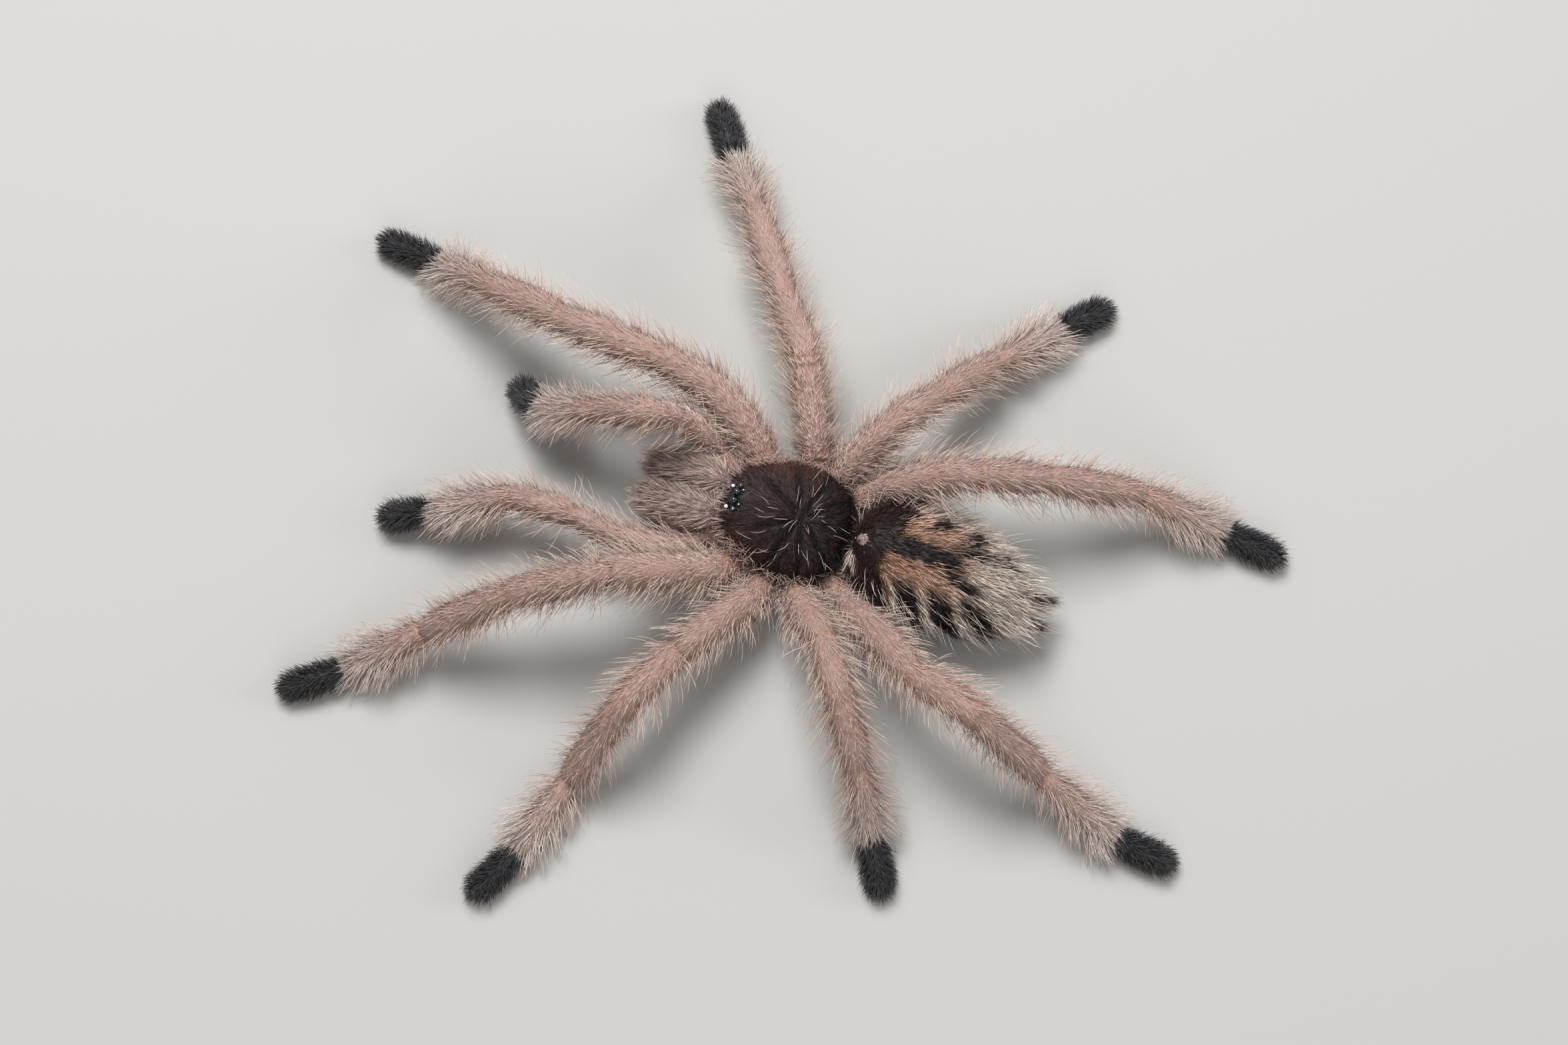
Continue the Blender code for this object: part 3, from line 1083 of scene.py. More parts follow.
@dataclass(frozen=True)
class HairFinish(Finish):
    """Hairs with one colour at the root and another at the tip."""

    root: tuple = BLACK_HAIR
    end: tuple = CREAM_HAIR
    reach: float = 0.6
    change: float = 0.5

    def base_color(self, wires: Wires) -> object:
        """The colour at the hair's root."""
        return self.root

    def paint(self, wires: Wires) -> tuple[object, object]:
        """The root's colour, fading into the tip's."""
        return self.tone(wires, self.base_color(wires), self.end), None

    def tone(self, wires: Wires, root: object, end: object) -> Socket:
        """The hair's own mixture of a root colour and an end colour."""
        own = {"Root": root, "End": end, "Reach": self.reach, "Change": self.change}
        return wires.use(wires.groups.hair_tone, wires.marks("tip", "tone") | own).outputs["Color"]


@dataclass(frozen=True)
class LegHairFinish(HairFinish):
    """Leg hairs, which take their root's colour from the skin's markings."""

    def base_color(self, wires: Wires) -> object:
        """The leg markings where the hair grows."""
        shade = wires.leg_color(wires.mark("tone"))
        return wires.blend(wires.times(wires.mark("frost"), 0.7), shade, FROST_HAIR)


@dataclass(frozen=True)
class AbdomenHairFinish(HairFinish):
    """Abdomen hairs, which carry the tiger pattern and pale only where it is light."""

    def paint(self, wires: Wires) -> tuple[object, object]:
        """The pattern's colour, with tips that pale outside its dark marks, and roots darkened by
        painted shade.

        Args:
            wires: The material's wires.

        Returns:
            The colour, and the relief's height or None.
        """
        pattern = wires.tiger(wires.mark("tone"))
        light = wires.times(
            wires.less(1.0, pattern["Dark"]), wires.line(pattern["Pale"], 0.45, 0.42)
        )
        # Painted shade: the roots are drawn 60 % towards a dark brown, less where the pattern is
        # pale, for the shade deep in the coat.
        sunk = wires.line(pattern["Pale"], -0.18, 0.6)
        root = wires.blend(sunk, pattern["Color"], PAINTED_ROOT_SHADE)
        end = wires.blend(light, pattern["Color"], self.end)
        return self.tone(wires, root, end), None


@dataclass(frozen=True)
class PlateFinish(Finish):
    """A shell plate with a mottled colour, darkened by painted shade where its glow mark is low: in
    the head shield's grooves and pit and along the jaws' seam.
    """

    dark: tuple = color(0.012, 0.008, 0.009)
    light: tuple = color(0.05, 0.028, 0.027)

    def paint(self, wires: Wires) -> tuple[object, object]:
        """Mottled between the two colours, kept to the dark one as painted shade where the glow
        mark is low.
        """
        share = wires.rise(wires.times(wires.noise(0.35, 4.0, 0.6), wires.mark("glow")), 0.2, 0.65)
        return wires.blend(share, self.dark, self.light), wires.grain(0.6, 0.5)


@dataclass(frozen=True)
class ShieldFinish(PlateFinish):
    """The head shield: velvet dark, and glossy slate on the eye mound."""

    mound_roughness: float = 0.24

    def paint(self, wires: Wires) -> tuple[object, object]:
        """Mottled, with the mound in slate.

        Args:
            wires: The material's wires.

        Returns:
            The colour, and the relief's height or None.
        """
        shade, height = super().paint(wires)
        mound = wires.mark("mound")
        shader = wires.tree.nodes["Principled BSDF"]
        gloss = wires.line(mound, self.mound_roughness - self.roughness, self.roughness)
        wires.feed(shader.inputs["Roughness"], gloss)
        return wires.blend(mound, shade, SLATE), height


@dataclass(frozen=True)
class ShieldHairFinish(HairFinish):
    """Hairs on the head shield: reddish at its sides, with dark streaks, and with painted shade to
    the rear and in the grooves.
    """

    dusk: tuple = BLACK_HAIR
    flush: tuple = color(0.19, 0.07, 0.052)
    pale: tuple = color(0.5, 0.37, 0.34)

    def paint(self, wires: Wires) -> tuple[object, object]:
        """The hair's tones, a few of them pale, sunk towards the colour of the streaks and the
        painted shade.

        Args:
            wires: The material's wires.

        Returns:
            The colour, and the relief's height or None.
        """
        shade, height = super().paint(wires)
        shade = wires.blend(wires.times(wires.mark("flush"), 0.75), shade, self.flush)
        few = wires.times(wires.rise(wires.mark("tone"), 0.8, 0.95), wires.mark("tip"))
        shade = wires.blend(wires.times(few, 0.5), shade, self.pale)
        # Painted shade: the rear mark darkens the hairs to the rear and in the grooves, together
        # with the dark streaks.
        return wires.blend(wires.mark("rear"), shade, self.dusk), height


@dataclass(frozen=True)
class GlossFinish(Finish):
    """A glossy dark piece whose tip or rim takes a second colour; on the eyes this is a pearly
    patch that is partly a painted highlight, and a faint blue painted sheen on the front middle
    pair.
    """

    base: tuple = BLACK_HAIR
    rim: tuple = color(0.05, 0.012, 0.006)

    def paint(self, wires: Wires) -> tuple[object, object]:
        """The base colour, with the second one where the mesh is marked."""
        share = wires.times(wires.mark("glow"), wires.rise(wires.noise(0.3), 0.2, 0.6))
        return wires.blend(share, self.base, self.rim), wires.grain(0.2, 0.4)


# ---- limbs


LEG_PARTS = ("femur", "tibia", "metatarsus", "tarsus")
PALP_PARTS = ("femur", "patella", "tibia", "tarsus")
LENGTHWISE = 0.85
LEAST_GIRTH = 0.4


def path_lengths(points: Array) -> Array:
    """How far each point of a line is from its start, along it."""
    return np.concatenate([[0.0], np.cumsum(np.linalg.norm(np.diff(points, axis=0), axis=1))])


def tube_slice(
    corners: Array, normals: Array, place: Array, heading: Array, reach: float
) -> tuple[Array, float] | None:
    """Cuts a limb across.

    Args:
        corners: The corners of its triangles.
        normals: The triangles' normals.
        place: A point of the cutting plane near the limb's centre.
        heading: The plane's normal, along the limb.
        reach: How far from the place the cut may lie.

    Returns:
        The cut's centre and mean radius, or None where nothing is cut.
    """
    heights = (corners - place) @ heading
    crossing = (heights.min(1) < 0.0) & (heights.max(1) > 0.0)
    crossing &= np.abs(normals @ heading) < LENGTHWISE
    corners, heights = corners[crossing], heights[crossing]
    after = np.roll(heights, -1, axis=1)
    cut = heights * after < 0.0
    shares = np.where(cut, heights / np.where(cut, heights - after, 1.0), 0.0)
    points = corners + (np.roll(corners, -1, axis=1) - corners) * shares[..., None]
    rows = np.arange(len(cut))
    starts = points[rows, cut.argmax(1)]
    stops = points[rows, 2 - cut[:, ::-1].argmax(1)]
    middles = (starts + stops) / 2
    weights = np.linalg.norm(stops - starts, axis=1)
    weights = weights * (np.linalg.norm(middles - place, axis=1) < reach)
    if weights.sum() < LEAST_GIRTH:
        return None
    centre = (middles * weights[:, None]).sum(0) / weights.sum()
    radius = (np.linalg.norm(middles - centre, axis=1) * weights).sum() / weights.sum()
    return centre, float(radius)


def sweep(centres: Array, uppers: Array, sides: Array, radii: Array, count: int) -> Form:
    """Skins a tube round a centre line.

    Args:
        centres: The line's points.
        uppers: At each point, a unit vector across the tube.
        sides: At each point, the unit vector at right angles to it.
        radii: At each point, the radius.
        count: How many sides the tube has.

    Returns:
        The tube's points and its faces.
    """
    angles = (np.arange(count) * (FULL_TURN / count))[None, :, None]
    spokes = np.cos(angles) * uppers[:, None] + np.sin(angles) * sides[:, None]
    points = (centres[:, None] + spokes * radii[:, None, None]).reshape(-1, 3)
    faces = []
    for ring in range(len(centres) - 1):
        low = ring * count
        for corner in range(count):
            after = (corner + 1) % count
            faces.append([low + corner, low + after, low + count + after, low + count + corner])
    faces.append(list(range(count))[::-1])
    last = (len(centres) - 1) * count
    faces.append(list(range(last, last + count)))
    return points, faces


@dataclass
class Limb:
    """One leg or palp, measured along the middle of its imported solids."""

    name: str
    coxa_length: float
    knee_share: float
    step: float = 0.08
    hip: Range = (0.75, 2.2)
    hip_radius: float = 0.3
    reach: float = 1.4
    most_misses: int = 3
    look_back: int = 5
    softening: float = 0.28
    coat_depth: float = 0.11
    coat_start: Range = (1.0, 2.8)
    coat_share: Range = (0.1, 0.9)
    least_radius: float = 0.2
    crease: Range = (0.045, 0.06)
    swell: Range = (0.012, 0.09)
    swell_offsets: Range = (0.16, -0.14)
    round_tip: float = 0.38
    least_tip: float = 0.004
    toe_fade: float = 0.5
    base_reach: Range = (1.2, 3.2)
    parting: float = 0.5
    tube_sides: int = 28

    def __post_init__(self) -> None:
        """Finds the centre line, the radii and the joints."""
        parts = PALP_PARTS if self.name.startswith("palp") else LEG_PARTS
        self.nodes = tuple(f"{self.name}_{part}" for part in parts)
        self.shapes = [Shape.of_node(node) for node in self.nodes]
        self._follow()
        self._find_joints()

    def _follow(self) -> None:
        """Walks along the limb's solids from the body to the foot."""
        low, high = node_box("carapace")
        heart = np.array([(low[0] + high[0]) / 2, (low[1] + high[1]) / 2, low[2] * 0.7])
        inner = self.shapes[0].points
        nearest = inner[np.linalg.norm(inner - heart, axis=1).argmin()]
        apart = np.linalg.norm(inner - nearest, axis=1)
        place = inner[apart < self.hip[0]].mean(0)
        heading = unit(inner[(apart > self.hip[0]) & (apart < self.hip[1])].mean(0) - place)
        corners = np.concatenate([shape.corners for shape in self.shapes])
        normals = unit(side_products(corners))
        found = [place]
        radii = [self.hip_radius]
        misses = 0
        while misses < self.most_misses:
            place = place + heading * self.step
            cut = tube_slice(corners, normals, place, heading, self.reach)
            if cut is None:
                misses += 1
                continue
            misses = 0
            place = cut[0]
            found.append(place)
            radii.append(cut[1])
            if len(found) > self.look_back:
                heading = unit(found[-1] - found[-1 - self.look_back])
        ahead = ((self.shapes[-1].points - found[-1]) @ heading).max()
        found.append(found[-1] + heading * max(ahead, 0.05))
        radii.append(radii[-1])
        self._smooth_line(np.array(found), np.array(radii))

    def _smooth_line(self, points: Array, radii: Array) -> None:
        """Evens out the centre line's spacing and rounds its bends.

        Args:
            points: The points found.
            radii: Their radii.
        """
        along = path_lengths(points)
        even = np.arange(0.0, along[-1], self.step)
        points = np.stack([np.interp(even, along, points[:, axis]) for axis in range(3)], axis=1)
        radii = np.interp(even, along, radii)
        width = int(3 * self.softening / self.step)
        kernel = hump(np.arange(-width, width + 1) * self.step, self.softening * math.sqrt(2))
        kernel /= kernel.sum()
        fore = points[0] - (points[1:width + 1] - points[0])[::-1]
        aft = points[-1] - (points[-width - 1:-1] - points[-1])[::-1]
        padded = np.concatenate([fore, points, aft])
        smoothed = [np.convolve(padded[:, axis], kernel, "valid") for axis in range(3)]
        self.centres = np.stack(smoothed, axis=1)
        self.radii = np.convolve(np.pad(radii, 2, "edge"), np.full(5, 0.2), "valid")
        self.along = path_lengths(self.centres)
        self.length = float(self.along[-1])
        self.tangents = unit(np.gradient(self.centres, axis=0))
        upward = np.array([0.0, 0.0, 1.0])
        lean = (self.tangents @ upward)[:, None]
        self.uppers = unit(upward - self.tangents * lean)
        self.sides = np.cross(self.tangents, self.uppers)

    def _find_joints(self) -> None:
        """Places the joints between the solids, and the two inside the longer ones."""
        spans = []
        for shape in self.shapes:
            along = self.measure(shape.points)[0]
            spans.append((along.min(), along.max()))
        borders = [(before[1] + after[0]) / 2 for before, after in zip(spans, spans[1:])]
        self.toe_start = float(borders[-1])
        knee = borders[0] + self.knee_share * (borders[1] - borders[0])
        self.joints = np.array(sorted({self.coxa_length, *borders, knee}))

    def measure(self, places: Array) -> tuple[Array, Array, Array, Array]:
        """Places points along and around the limb.

        Args:
            places: The points.

        Returns:
            Their distance along, their angle from the top, the limb's direction there, and
            the direction round it in which that angle grows.
        """
        gaps = (self.centres**2).sum(1)[None] - 2.0 * places @ self.centres.T
        nearest = gaps.argmin(1)
        offsets = places - self.centres[nearest]
        ahead = (offsets * self.tangents[nearest]).sum(1)
        along = self.along[nearest] + np.clip(ahead, -self.step, self.step)
        uppers, sides = self.uppers[nearest], self.sides[nearest]
        around = np.arctan2((offsets * sides).sum(1), (offsets * uppers).sum(1))
        turn = np.cos(around)[:, None] * sides - np.sin(around)[:, None] * uppers
        return along, around, self.tangents[nearest], turn

    def skin_radii(self, along: Array) -> Array:
        """The skin's radius: the solid's less the coat, creased at joints and round at the tip.

        Args:
            along: Distances along the limb.

        Returns:
            The radius at each.
        """
        depth = self.coat_depth * ramp(self.coat_share, smooth_step(along, *self.coat_start))
        radii = np.interp(along, self.along, self.radii) - depth
        radii = np.maximum(radii, self.least_radius)
        size, width = self.swell
        for joint in self.joints:
            radii -= self.crease[0] * hump(along - joint, self.crease[1])
            before, after = (hump(along - joint + gap, width) for gap in self.swell_offsets)
            radii += size * before + size * after
        left = np.clip((self.length - along) / self.round_tip, 0.0, 1.0)
        return radii * np.sqrt(np.maximum(1.0 - (1.0 - left) ** 2, self.least_tip))

    def tube(self) -> Form:
        """Skins this limb.

        Returns:
            A closed tube.
        """
        along = np.append(np.arange(0.0, self.length, self.step), self.length)
        lines = []
        for values in (self.centres, self.uppers, self.sides):
            rows = [np.interp(along, self.along, values[:, axis]) for axis in range(3)]
            lines.append(np.stack(rows, 1))
        centres, uppers, sides = lines[0], unit(lines[1]), unit(lines[2])
        points, faces = sweep(centres, uppers, sides, self.skin_radii(along), self.tube_sides)
        points[:, 2] = np.maximum(points[:, 2], SKIN_CLEARANCE)
        return points, faces

    def marks(self, places: Array) -> dict[str, Array]:
        """What the skin is marked with.

        Args:
            places: Points on it.

        Returns:
            Each mark's value at each point.
        """
        along, around, _, _ = self.measure(places)
        gaps = along[:, None] - self.joints[None]
        nearest = np.abs(gaps).argmin(1)
        return {
            "joint": gaps[np.arange(len(along)), nearest],
            "around": around,
            "toe": np.clip(0.5 + (along - self.toe_start) / self.toe_fade, 0.0, 1.0),
            "base": 1.0 - smooth_step(along, *self.base_reach),
        }

    def roots(self, skin: Shape, density: float) -> Roots:
        """Hair roots over this limb's skin, lying towards the foot.

        Args:
            skin: The part of the skin that is this limb.
            density: Roots for each square millimetre.

        Returns:
            The roots.
        """
        places, normals = skin.scatter(density)
        along, around, lies, turn = self.measure(places)
        lies = lies + self.parting * np.sin(around)[:, None] * turn
        spots = patch_spots(along / self.length, around / FULL_TURN + 0.5)
        marks = self.marks(places)
        marks["reach"] = along
        return Roots(places, normals, lies, spots, marks)


# ---- skin


@dataclass
class Abdomen:
    """The abdomen, measured round a line from its front to its rear."""

    node: str = "abdomen"
    coat_depth: float = 0.16
    parting: float = 0.55
    rings: int = 96
    count: int = 88
    pole: float = 0.02
    cuts: int = 12
    cut_ends: float = 0.4
    cut_width: float = 0.6
    crease_depth: float = 0.006
    crease_rate: float = 7.0

    def __post_init__(self) -> None:
        """Reads the solid and its axis."""
        self.solid = Shape.of_node(self.node)
        points = self.solid.points
        self.front = float(points[:, 1].min())
        self.rear = float(points[:, 1].max())
        ends = (self.front + self.cut_ends, self.rear - self.cut_ends)
        self.sections = np.linspace(*ends, self.cuts)
        axis = []
        for place in self.sections:
            near = points[np.abs(points[:, 1] - place) < self.cut_width]
            axis.append((near.min(0) + near.max(0)) / 2)
        self.axis = np.array(axis)

    def centre(self, ahead: Array) -> Array:
        """The axis at these places along Y."""
        across, height = (np.interp(ahead, self.sections, self.axis[:, axis]) for axis in (0, 2))
        return np.stack([across, ahead, height], axis=1)

    def tube(self) -> Form:
        """Skins the abdomen, drawn in by the coat's depth.

        Returns:
            A closed form.
        """
        tree = self.solid.tree()
        middle = (self.front + self.rear) / 2
        half = (self.rear - self.front) / 2
        turns = np.cos(np.linspace(self.pole, math.pi - self.pole, self.rings))[::-1]
        centres = self.centre(middle + half * turns)
        angles = np.arange(self.count) * (FULL_TURN / self.count)
        points = []
        for centre in centres:
            for angle in angles:
                spoke = Vector((math.sin(angle), 0.0, math.cos(angle)))
                hit = tree.ray_cast(Vector(centre), spoke)
                reach = hit[3] if hit[3] is not None else 0.05
                points.append(centre + np.array(spoke) * reach)
        points = np.array(points).reshape(self.rings, self.count, 3)
        girth = np.linalg.norm(points - centres[:, None], axis=2)
        shrink = 1.0 - self.coat_depth / girth.max()
        drawn = centres.copy()
        drawn[:, 1] = middle + (half - self.coat_depth) * turns
        waves = np.cos(turns * half * self.crease_rate)[:, None, None]
        creases = 1.0 - self.crease_depth * waves
        points = drawn[:, None] + (points - centres[:, None]) * shrink * creases
        faces = sweep(drawn, drawn, drawn, np.ones(self.rings), self.count)[1]
        return points.reshape(-1, 3), faces

    def measure(self, places: Array) -> tuple[Array, Array]:
        """Places points along and around the abdomen.

        Args:
            places: The points.

        Returns:
            Their share of the length, and their angle from the top, positive on the left.
        """
        offsets = places - self.centre(places[:, 1])
        share = (places[:, 1] - self.front) / (self.rear - self.front)
        return share, np.arctan2(offsets[:, 0], offsets[:, 2])

    def roots(self, skin: Shape, density: float) -> Roots:
        """Hair roots over the abdomen, swept to the rear.

        Args:
            skin: The abdomen's part of the skin.
            density: Roots for each square millimetre.

        Returns:
            The roots.
        """
        places, normals = skin.scatter(density)
        share, around = self.measure(places)
        offsets = places - self.centre(places[:, 1])
        turn = np.stack([offsets[:, 2], np.zeros(len(offsets)), -offsets[:, 0]], axis=1)
        lies = np.array([0.0, 1.0, 0.0]) + self.parting * np.sin(around)[:, None] * unit(turn)
        spots = patch_spots(share, around / FULL_TURN + 0.5)
        return Roots(places, normals, unit(lies), spots, {"along": share, "around": around})


@dataclass
class Skin:
    """One skin over the limbs, the waist and the abdomen."""

    limbs: list[Limb]
    abdomen: Abdomen
    core_size: Three = (1.75, 2.15, 0.62)
    brow_size: Three = (1.45, 0.5, 0.42)
    brow_hair: Hair = Hair(190, (0.45, 0.8), 0.028, 0.3, bands=3, wander=0.4, clump=0.35)
    under_hair: Hair = Hair(120, (0.4, 0.75), 0.03, 0.4, bands=2, wander=0.5, clump=0.3)
    jaw_reach: float = 0.95

    def __post_init__(self) -> None:
        """Numbers the forms that the skin is joined from."""
        self.abdomen_form, self.waist_form, self.brow_form, self.core_form = (
            len(self.limbs) + number for number in range(4)
        )

    def build(self) -> None:
        """Joins every form into one closed skin, and remembers which form each point is from."""
        waist = fine_shell("pedicel", 0.07, 0.06)
        low, high = node_box("carapace")
        middle = (low + high) / 2
        brow_middle = [middle[0], low[1] + 0.2, low[2] - 0.12]
        core = ball_form([middle[0], middle[1], low[2] - 0.35], self.core_size, BODY_GRAIN)
        forms = [limb.tube() for limb in self.limbs]
        forms += [
            self.abdomen.tube(),
            (waist.points, waist.triangles.tolist()),
            ball_form(brow_middle, self.brow_size, BODY_GRAIN),
        ]
        work = [temporary_object(*form) for form in forms]
        body = temporary_object(*core)
        for obj in work:
            union = body.modifiers.new("union", "BOOLEAN")
            union.operation = "UNION"
            union.solver = "MANIFOLD"
            union.object = obj
        self.shape = evaluated_shape(body)
        discard(body, *work)
        self._label([*forms, core])

    def _label(self, forms: list) -> None:
        """Finds the form that each point of the joined skin comes from.

        Args:
            forms: The points and faces of every form.
        """
        tree = KDTree(sum(len(points) for points, _ in forms))
        owners = []
        for number, (points, _) in enumerate(forms):
            for point in points:
                tree.insert(point, len(owners))
                owners.append(number)
        tree.balance()
        self.labels = np.array([owners[tree.find(point)[1]] for point in self.shape.points])

    def part(self, number: int) -> Shape:
        """The triangles whose corners all come from one form."""
        return self.shape.part((self.labels[self.shape.triangles] == number).all(1))

    def _roots(self, number: int, hair: Hair, lie: tuple) -> Roots:
        """Hair roots over one form's part of the skin.

        Args:
            number: The form.
            hair: Their kind.
            lie: The way they lie.

        Returns:
            The roots.
        """
        places, normals = self.part(number).scatter(hair.density)
        low, high = places.min(0), places.max(0)
        spots = patch_spots(*((places - low) / (high - low))[:, :2].T)
        return Roots(places, normals, np.tile(lie, (len(places), 1)), spots, {})

    def grow_brow(self) -> None:
        """Grows short hairs forward over the brow between the head shield and the jaws."""
        roots = self._roots(self.brow_form, self.brow_hair, (0.0, -1.0, -0.1))
        across, normals = roots.places[:, 0], roots.normals
        grown = normals[:, 1] < 0.4
        beside = np.abs(across - (across.min() + across.max()) / 2) > self.jaw_reach
        beside |= normals[:, 2] < -0.5
        parts = {"brow": (~beside, "jaw_hair"), "cheek": (beside, "cheek_hair")}
        for name, (part, finish) in parts.items():
            coat = Coat(f"{name}_coat", Slot.HEAD_COAT, finish)
            coat.grow(roots.keep(grown & part), self.brow_hair)
            coat.finish()

    def grow_under(self) -> None:
        """Grows hairs to the rear over the waist and what shows of the body between the hips."""
        coat = Coat("under_coat", Slot.UNDERSIDE, "under_hair")
        for number in (self.waist_form, self.core_form):
            coat.grow(self._roots(number, self.under_hair, (0.0, 1.0, -0.1)), self.under_hair)
        coat.finish()

    def dress(self) -> None:
        """Marks the skin and puts it in place of the solids of flesh."""
        count = len(self.shape.points)
        marks = {label: np.ones(count) for label in ("joint", "base")}
        marks |= {label: np.zeros(count) for label in ("around", "toe", "along", "trunk")}
        for number, limb in enumerate(self.limbs):
            chosen = self.labels == number
            for label, values in limb.marks(self.shape.points[chosen]).items():
                marks[label][chosen] = values
        chosen = self.labels == self.abdomen_form
        share, around = self.abdomen.measure(self.shape.points[chosen])
        marks["along"][chosen] = share
        marks["around"][chosen] = around
        marks["trunk"][chosen] = 1.0
        marks["base"][self.labels == self.brow_form] = 0.0
        nodes = [node for limb in self.limbs for node in limb.nodes]
        mesh = shell_mesh("skin", self.shape, marks)
        show_piece("skin", mesh, "skin", Slot.LEG_COAT, (*nodes, "abdomen", "pedicel"))


@dataclass
class LimbCoat:
    """The hairs of one limb: pale on its length and black on its toe."""

    limb: Limb
    skin: Shape
    down: Hair = Hair(142, (0.3, 0.55), 0.037, 0.27, bands=1, wander=0.25)
    fur: Hair = Hair(28, (0.65, 1.15), 0.031, 0.86, bands=3, droop=0.35, wander=0.25, clump=0.2)
    setae: Hair = Hair(9.5, (1.2, 1.9), 0.035, 1.0, bands=4, droop=0.35, wander=0.25, clump=0.15)
    brush: Hair = Hair(64, (1.1, 1.8), 0.031, 1.0, bands=3, droop=0.45, wander=0.25, clump=0.3)
    curls: Hair = Hair(50, (0.5, 0.95), 0.03, 0.9, bands=3, droop=0.6, wander=2.0, curl=1.3)
    toe_down: Hair = Hair(195, (0.48, 0.7), 0.036, 1.0, droop=0.4, wander=0.3)
    toe_fur: Hair = Hair(20, (0.6, 0.85), 0.03, 1.0, bands=3, wander=0.3)
    flanks: Range = (0.3, 1.1)
    flank_length: Range = (0.6, 0.4)
    flank_lift: Range = (0.5, 0.5)
    frost_reach: Range = (4.5, 0.6)
    leg_end: float = 0.05
    least_setae: float = 0.3
    brush_reach: float = 4.2
    brush_spread: float = 0.8
    brush_flat: Range = (1.2, 0.2)
    brush_lift: Range = (1.0, -0.35)
    curls_reach: float = 1.0
    toe_overlap: float = 0.08
    toe_sides: Range = (1.7, 2.4)
    toe_end: Range = (0.7, 0.1)
    toe_length: Range = (0.55, 0.45)
    end_length: Range = (1.0, -0.2)
    toe_lift: Range = (0.4, 0.6)
    end_lift: float = 0.35

    def grow(self) -> None:
        """Grows both coats."""
        toe = self.limb.toe_start
        coat = Coat(f"coat_{self.limb.name}", Slot.LEG_COAT, "leg_hair")
        for hair in (self.down, self.fur, self.setae, self.brush, self.curls):
            roots, along = self._roots(hair)
            flank = smooth_step(np.abs(roots.marks["around"]), *self.flanks)
            start, end = self.frost_reach
            roots.marks["frost"] = smooth_step(along, toe - start, toe - end)
            chosen = along < toe - self.leg_end
            scale, raised = ramp(self.flank_length, flank), ramp(self.flank_lift, flank)
            if hair is self.curls:
                chosen &= along < self.limb.coxa_length + self.curls_reach
            if hair is self.setae:
                kept = DICE.random(len(flank)) < self.least_setae + flank
                chosen &= (along > self.limb.coxa_length) & kept
            if hair is self.brush:
                reach = self.brush_reach * DICE.random(len(along)) ** self.brush_spread
                chosen &= along > toe - reach
                start, end = self.brush_flat
                flat = smooth_step(along, toe - start, toe - end)
                raised = raised * ramp(self.brush_lift, flat)
            if hair is self.down:
                scale, raised = np.ones(len(flank)), np.ones(len(flank))
            coat.grow(roots.keep(chosen), hair, scale[chosen], raised[chosen])
        coat.finish()
        pad = Coat(f"toe_coat_{self.limb.name}", Slot.TOE_COAT, "toe_hair")
        for hair in (self.toe_down, self.toe_fur):
            roots, along = self._roots(hair)
            above = 1.0 - smooth_step(np.abs(roots.marks["around"]), *self.toe_sides)
            start, end = self.toe_end
            blunt = smooth_step(along, self.limb.length - start, self.limb.length - end)
            chosen = along > toe - self.toe_overlap
            scale = ramp(self.toe_length, above) * ramp(self.end_length, blunt)
            raised = ramp(self.toe_lift, above) + self.end_lift * blunt
            pad.grow(roots.keep(chosen), hair, scale[chosen], raised[chosen])
        pad.finish()

    def _roots(self, hair: Hair) -> tuple[Roots, Array]:
        """The roots of one kind of hair, and how far along the limb each is."""
        roots = self.limb.roots(self.skin, hair.density)
        return roots, roots.marks.pop("reach")


@dataclass
class AbdomenCoat:
    """The abdomen's short under coat and its long swept hairs."""

    abdomen: Abdomen
    skin: Shape
    down: Hair = Hair(130, (0.42, 0.66), 0.04, 0.4, wander=0.2, clump=0.4)
    long: Hair = Hair(42, (0.75, 1.1), 0.038, 0.62, bands=4, droop=0.4, wander=0.22, clump=0.5)
    setae: Hair = Hair(6, (1.1, 1.6), 0.032, 0.9, bands=4, droop=0.4, wander=0.3)
    flanks: Range = (0.5, 1.3)
    saddle_reach: Range = (0.1, 0.32)
    saddle_flank: Range = (1.0, -0.7)
    rear_reach: Range = (0.55, 0.98)
    flank_length: Range = (0.7, 0.3)
    saddle_length: float = -0.3
    rear_length: float = 0.65
    gap_middle: float = -0.15
    gap_sides: Range = (0.35, 0.8)
    gap_reach: Range = (0.86, 0.95)
    gap_length: float = 0.5
    setae_start: float = 0.4
    flank_lift: Range = (0.75, 0.35)
    rear_slope: Range = (0.65, 0.95)
    rear_lift: float = 2.6

    def grow(self) -> None:
        """Grows the patterned layers, and sparse pale setae over them."""
        layers = {
            "down": (self.down, "abdomen_hair"), "hair": (self.long, "abdomen_hair"),
            "setae": (self.setae, "pale_setae"),
        }
        for name, (hair, finish) in layers.items():
            coat = Coat(f"abdomen_{name}", Slot.ABDOMEN_COAT, finish)
            roots = self.abdomen.roots(self.skin, hair.density)
            share = roots.marks["along"]
            around = roots.marks["around"]
            flank = smooth_step(np.abs(around), *self.flanks)
            saddle = 1.0 - smooth_step(share, *self.saddle_reach)
            saddle *= ramp(self.saddle_flank, flank)
            rear = smooth_step(share, *self.rear_reach)
            scale = ramp(self.flank_length, flank)
            scale += self.saddle_length * saddle
            scale += self.rear_length * rear
            above = 1.0 - smooth_step(np.abs(around - self.gap_middle), *self.gap_sides)
            scale *= 1.0 - self.gap_length * above * smooth_step(share, *self.gap_reach)
            chosen = np.ones(len(share), bool)
            if hair is self.setae:
                chosen = np.maximum(flank, rear) > self.setae_start
            raised = ramp(self.flank_lift, flank)
            raised += self.rear_lift * smooth_step(roots.normals[:, 1], *self.rear_slope)
            coat.grow(roots.keep(chosen), hair, scale[chosen], raised[chosen])
            coat.finish()


# ---- plates, head and trim


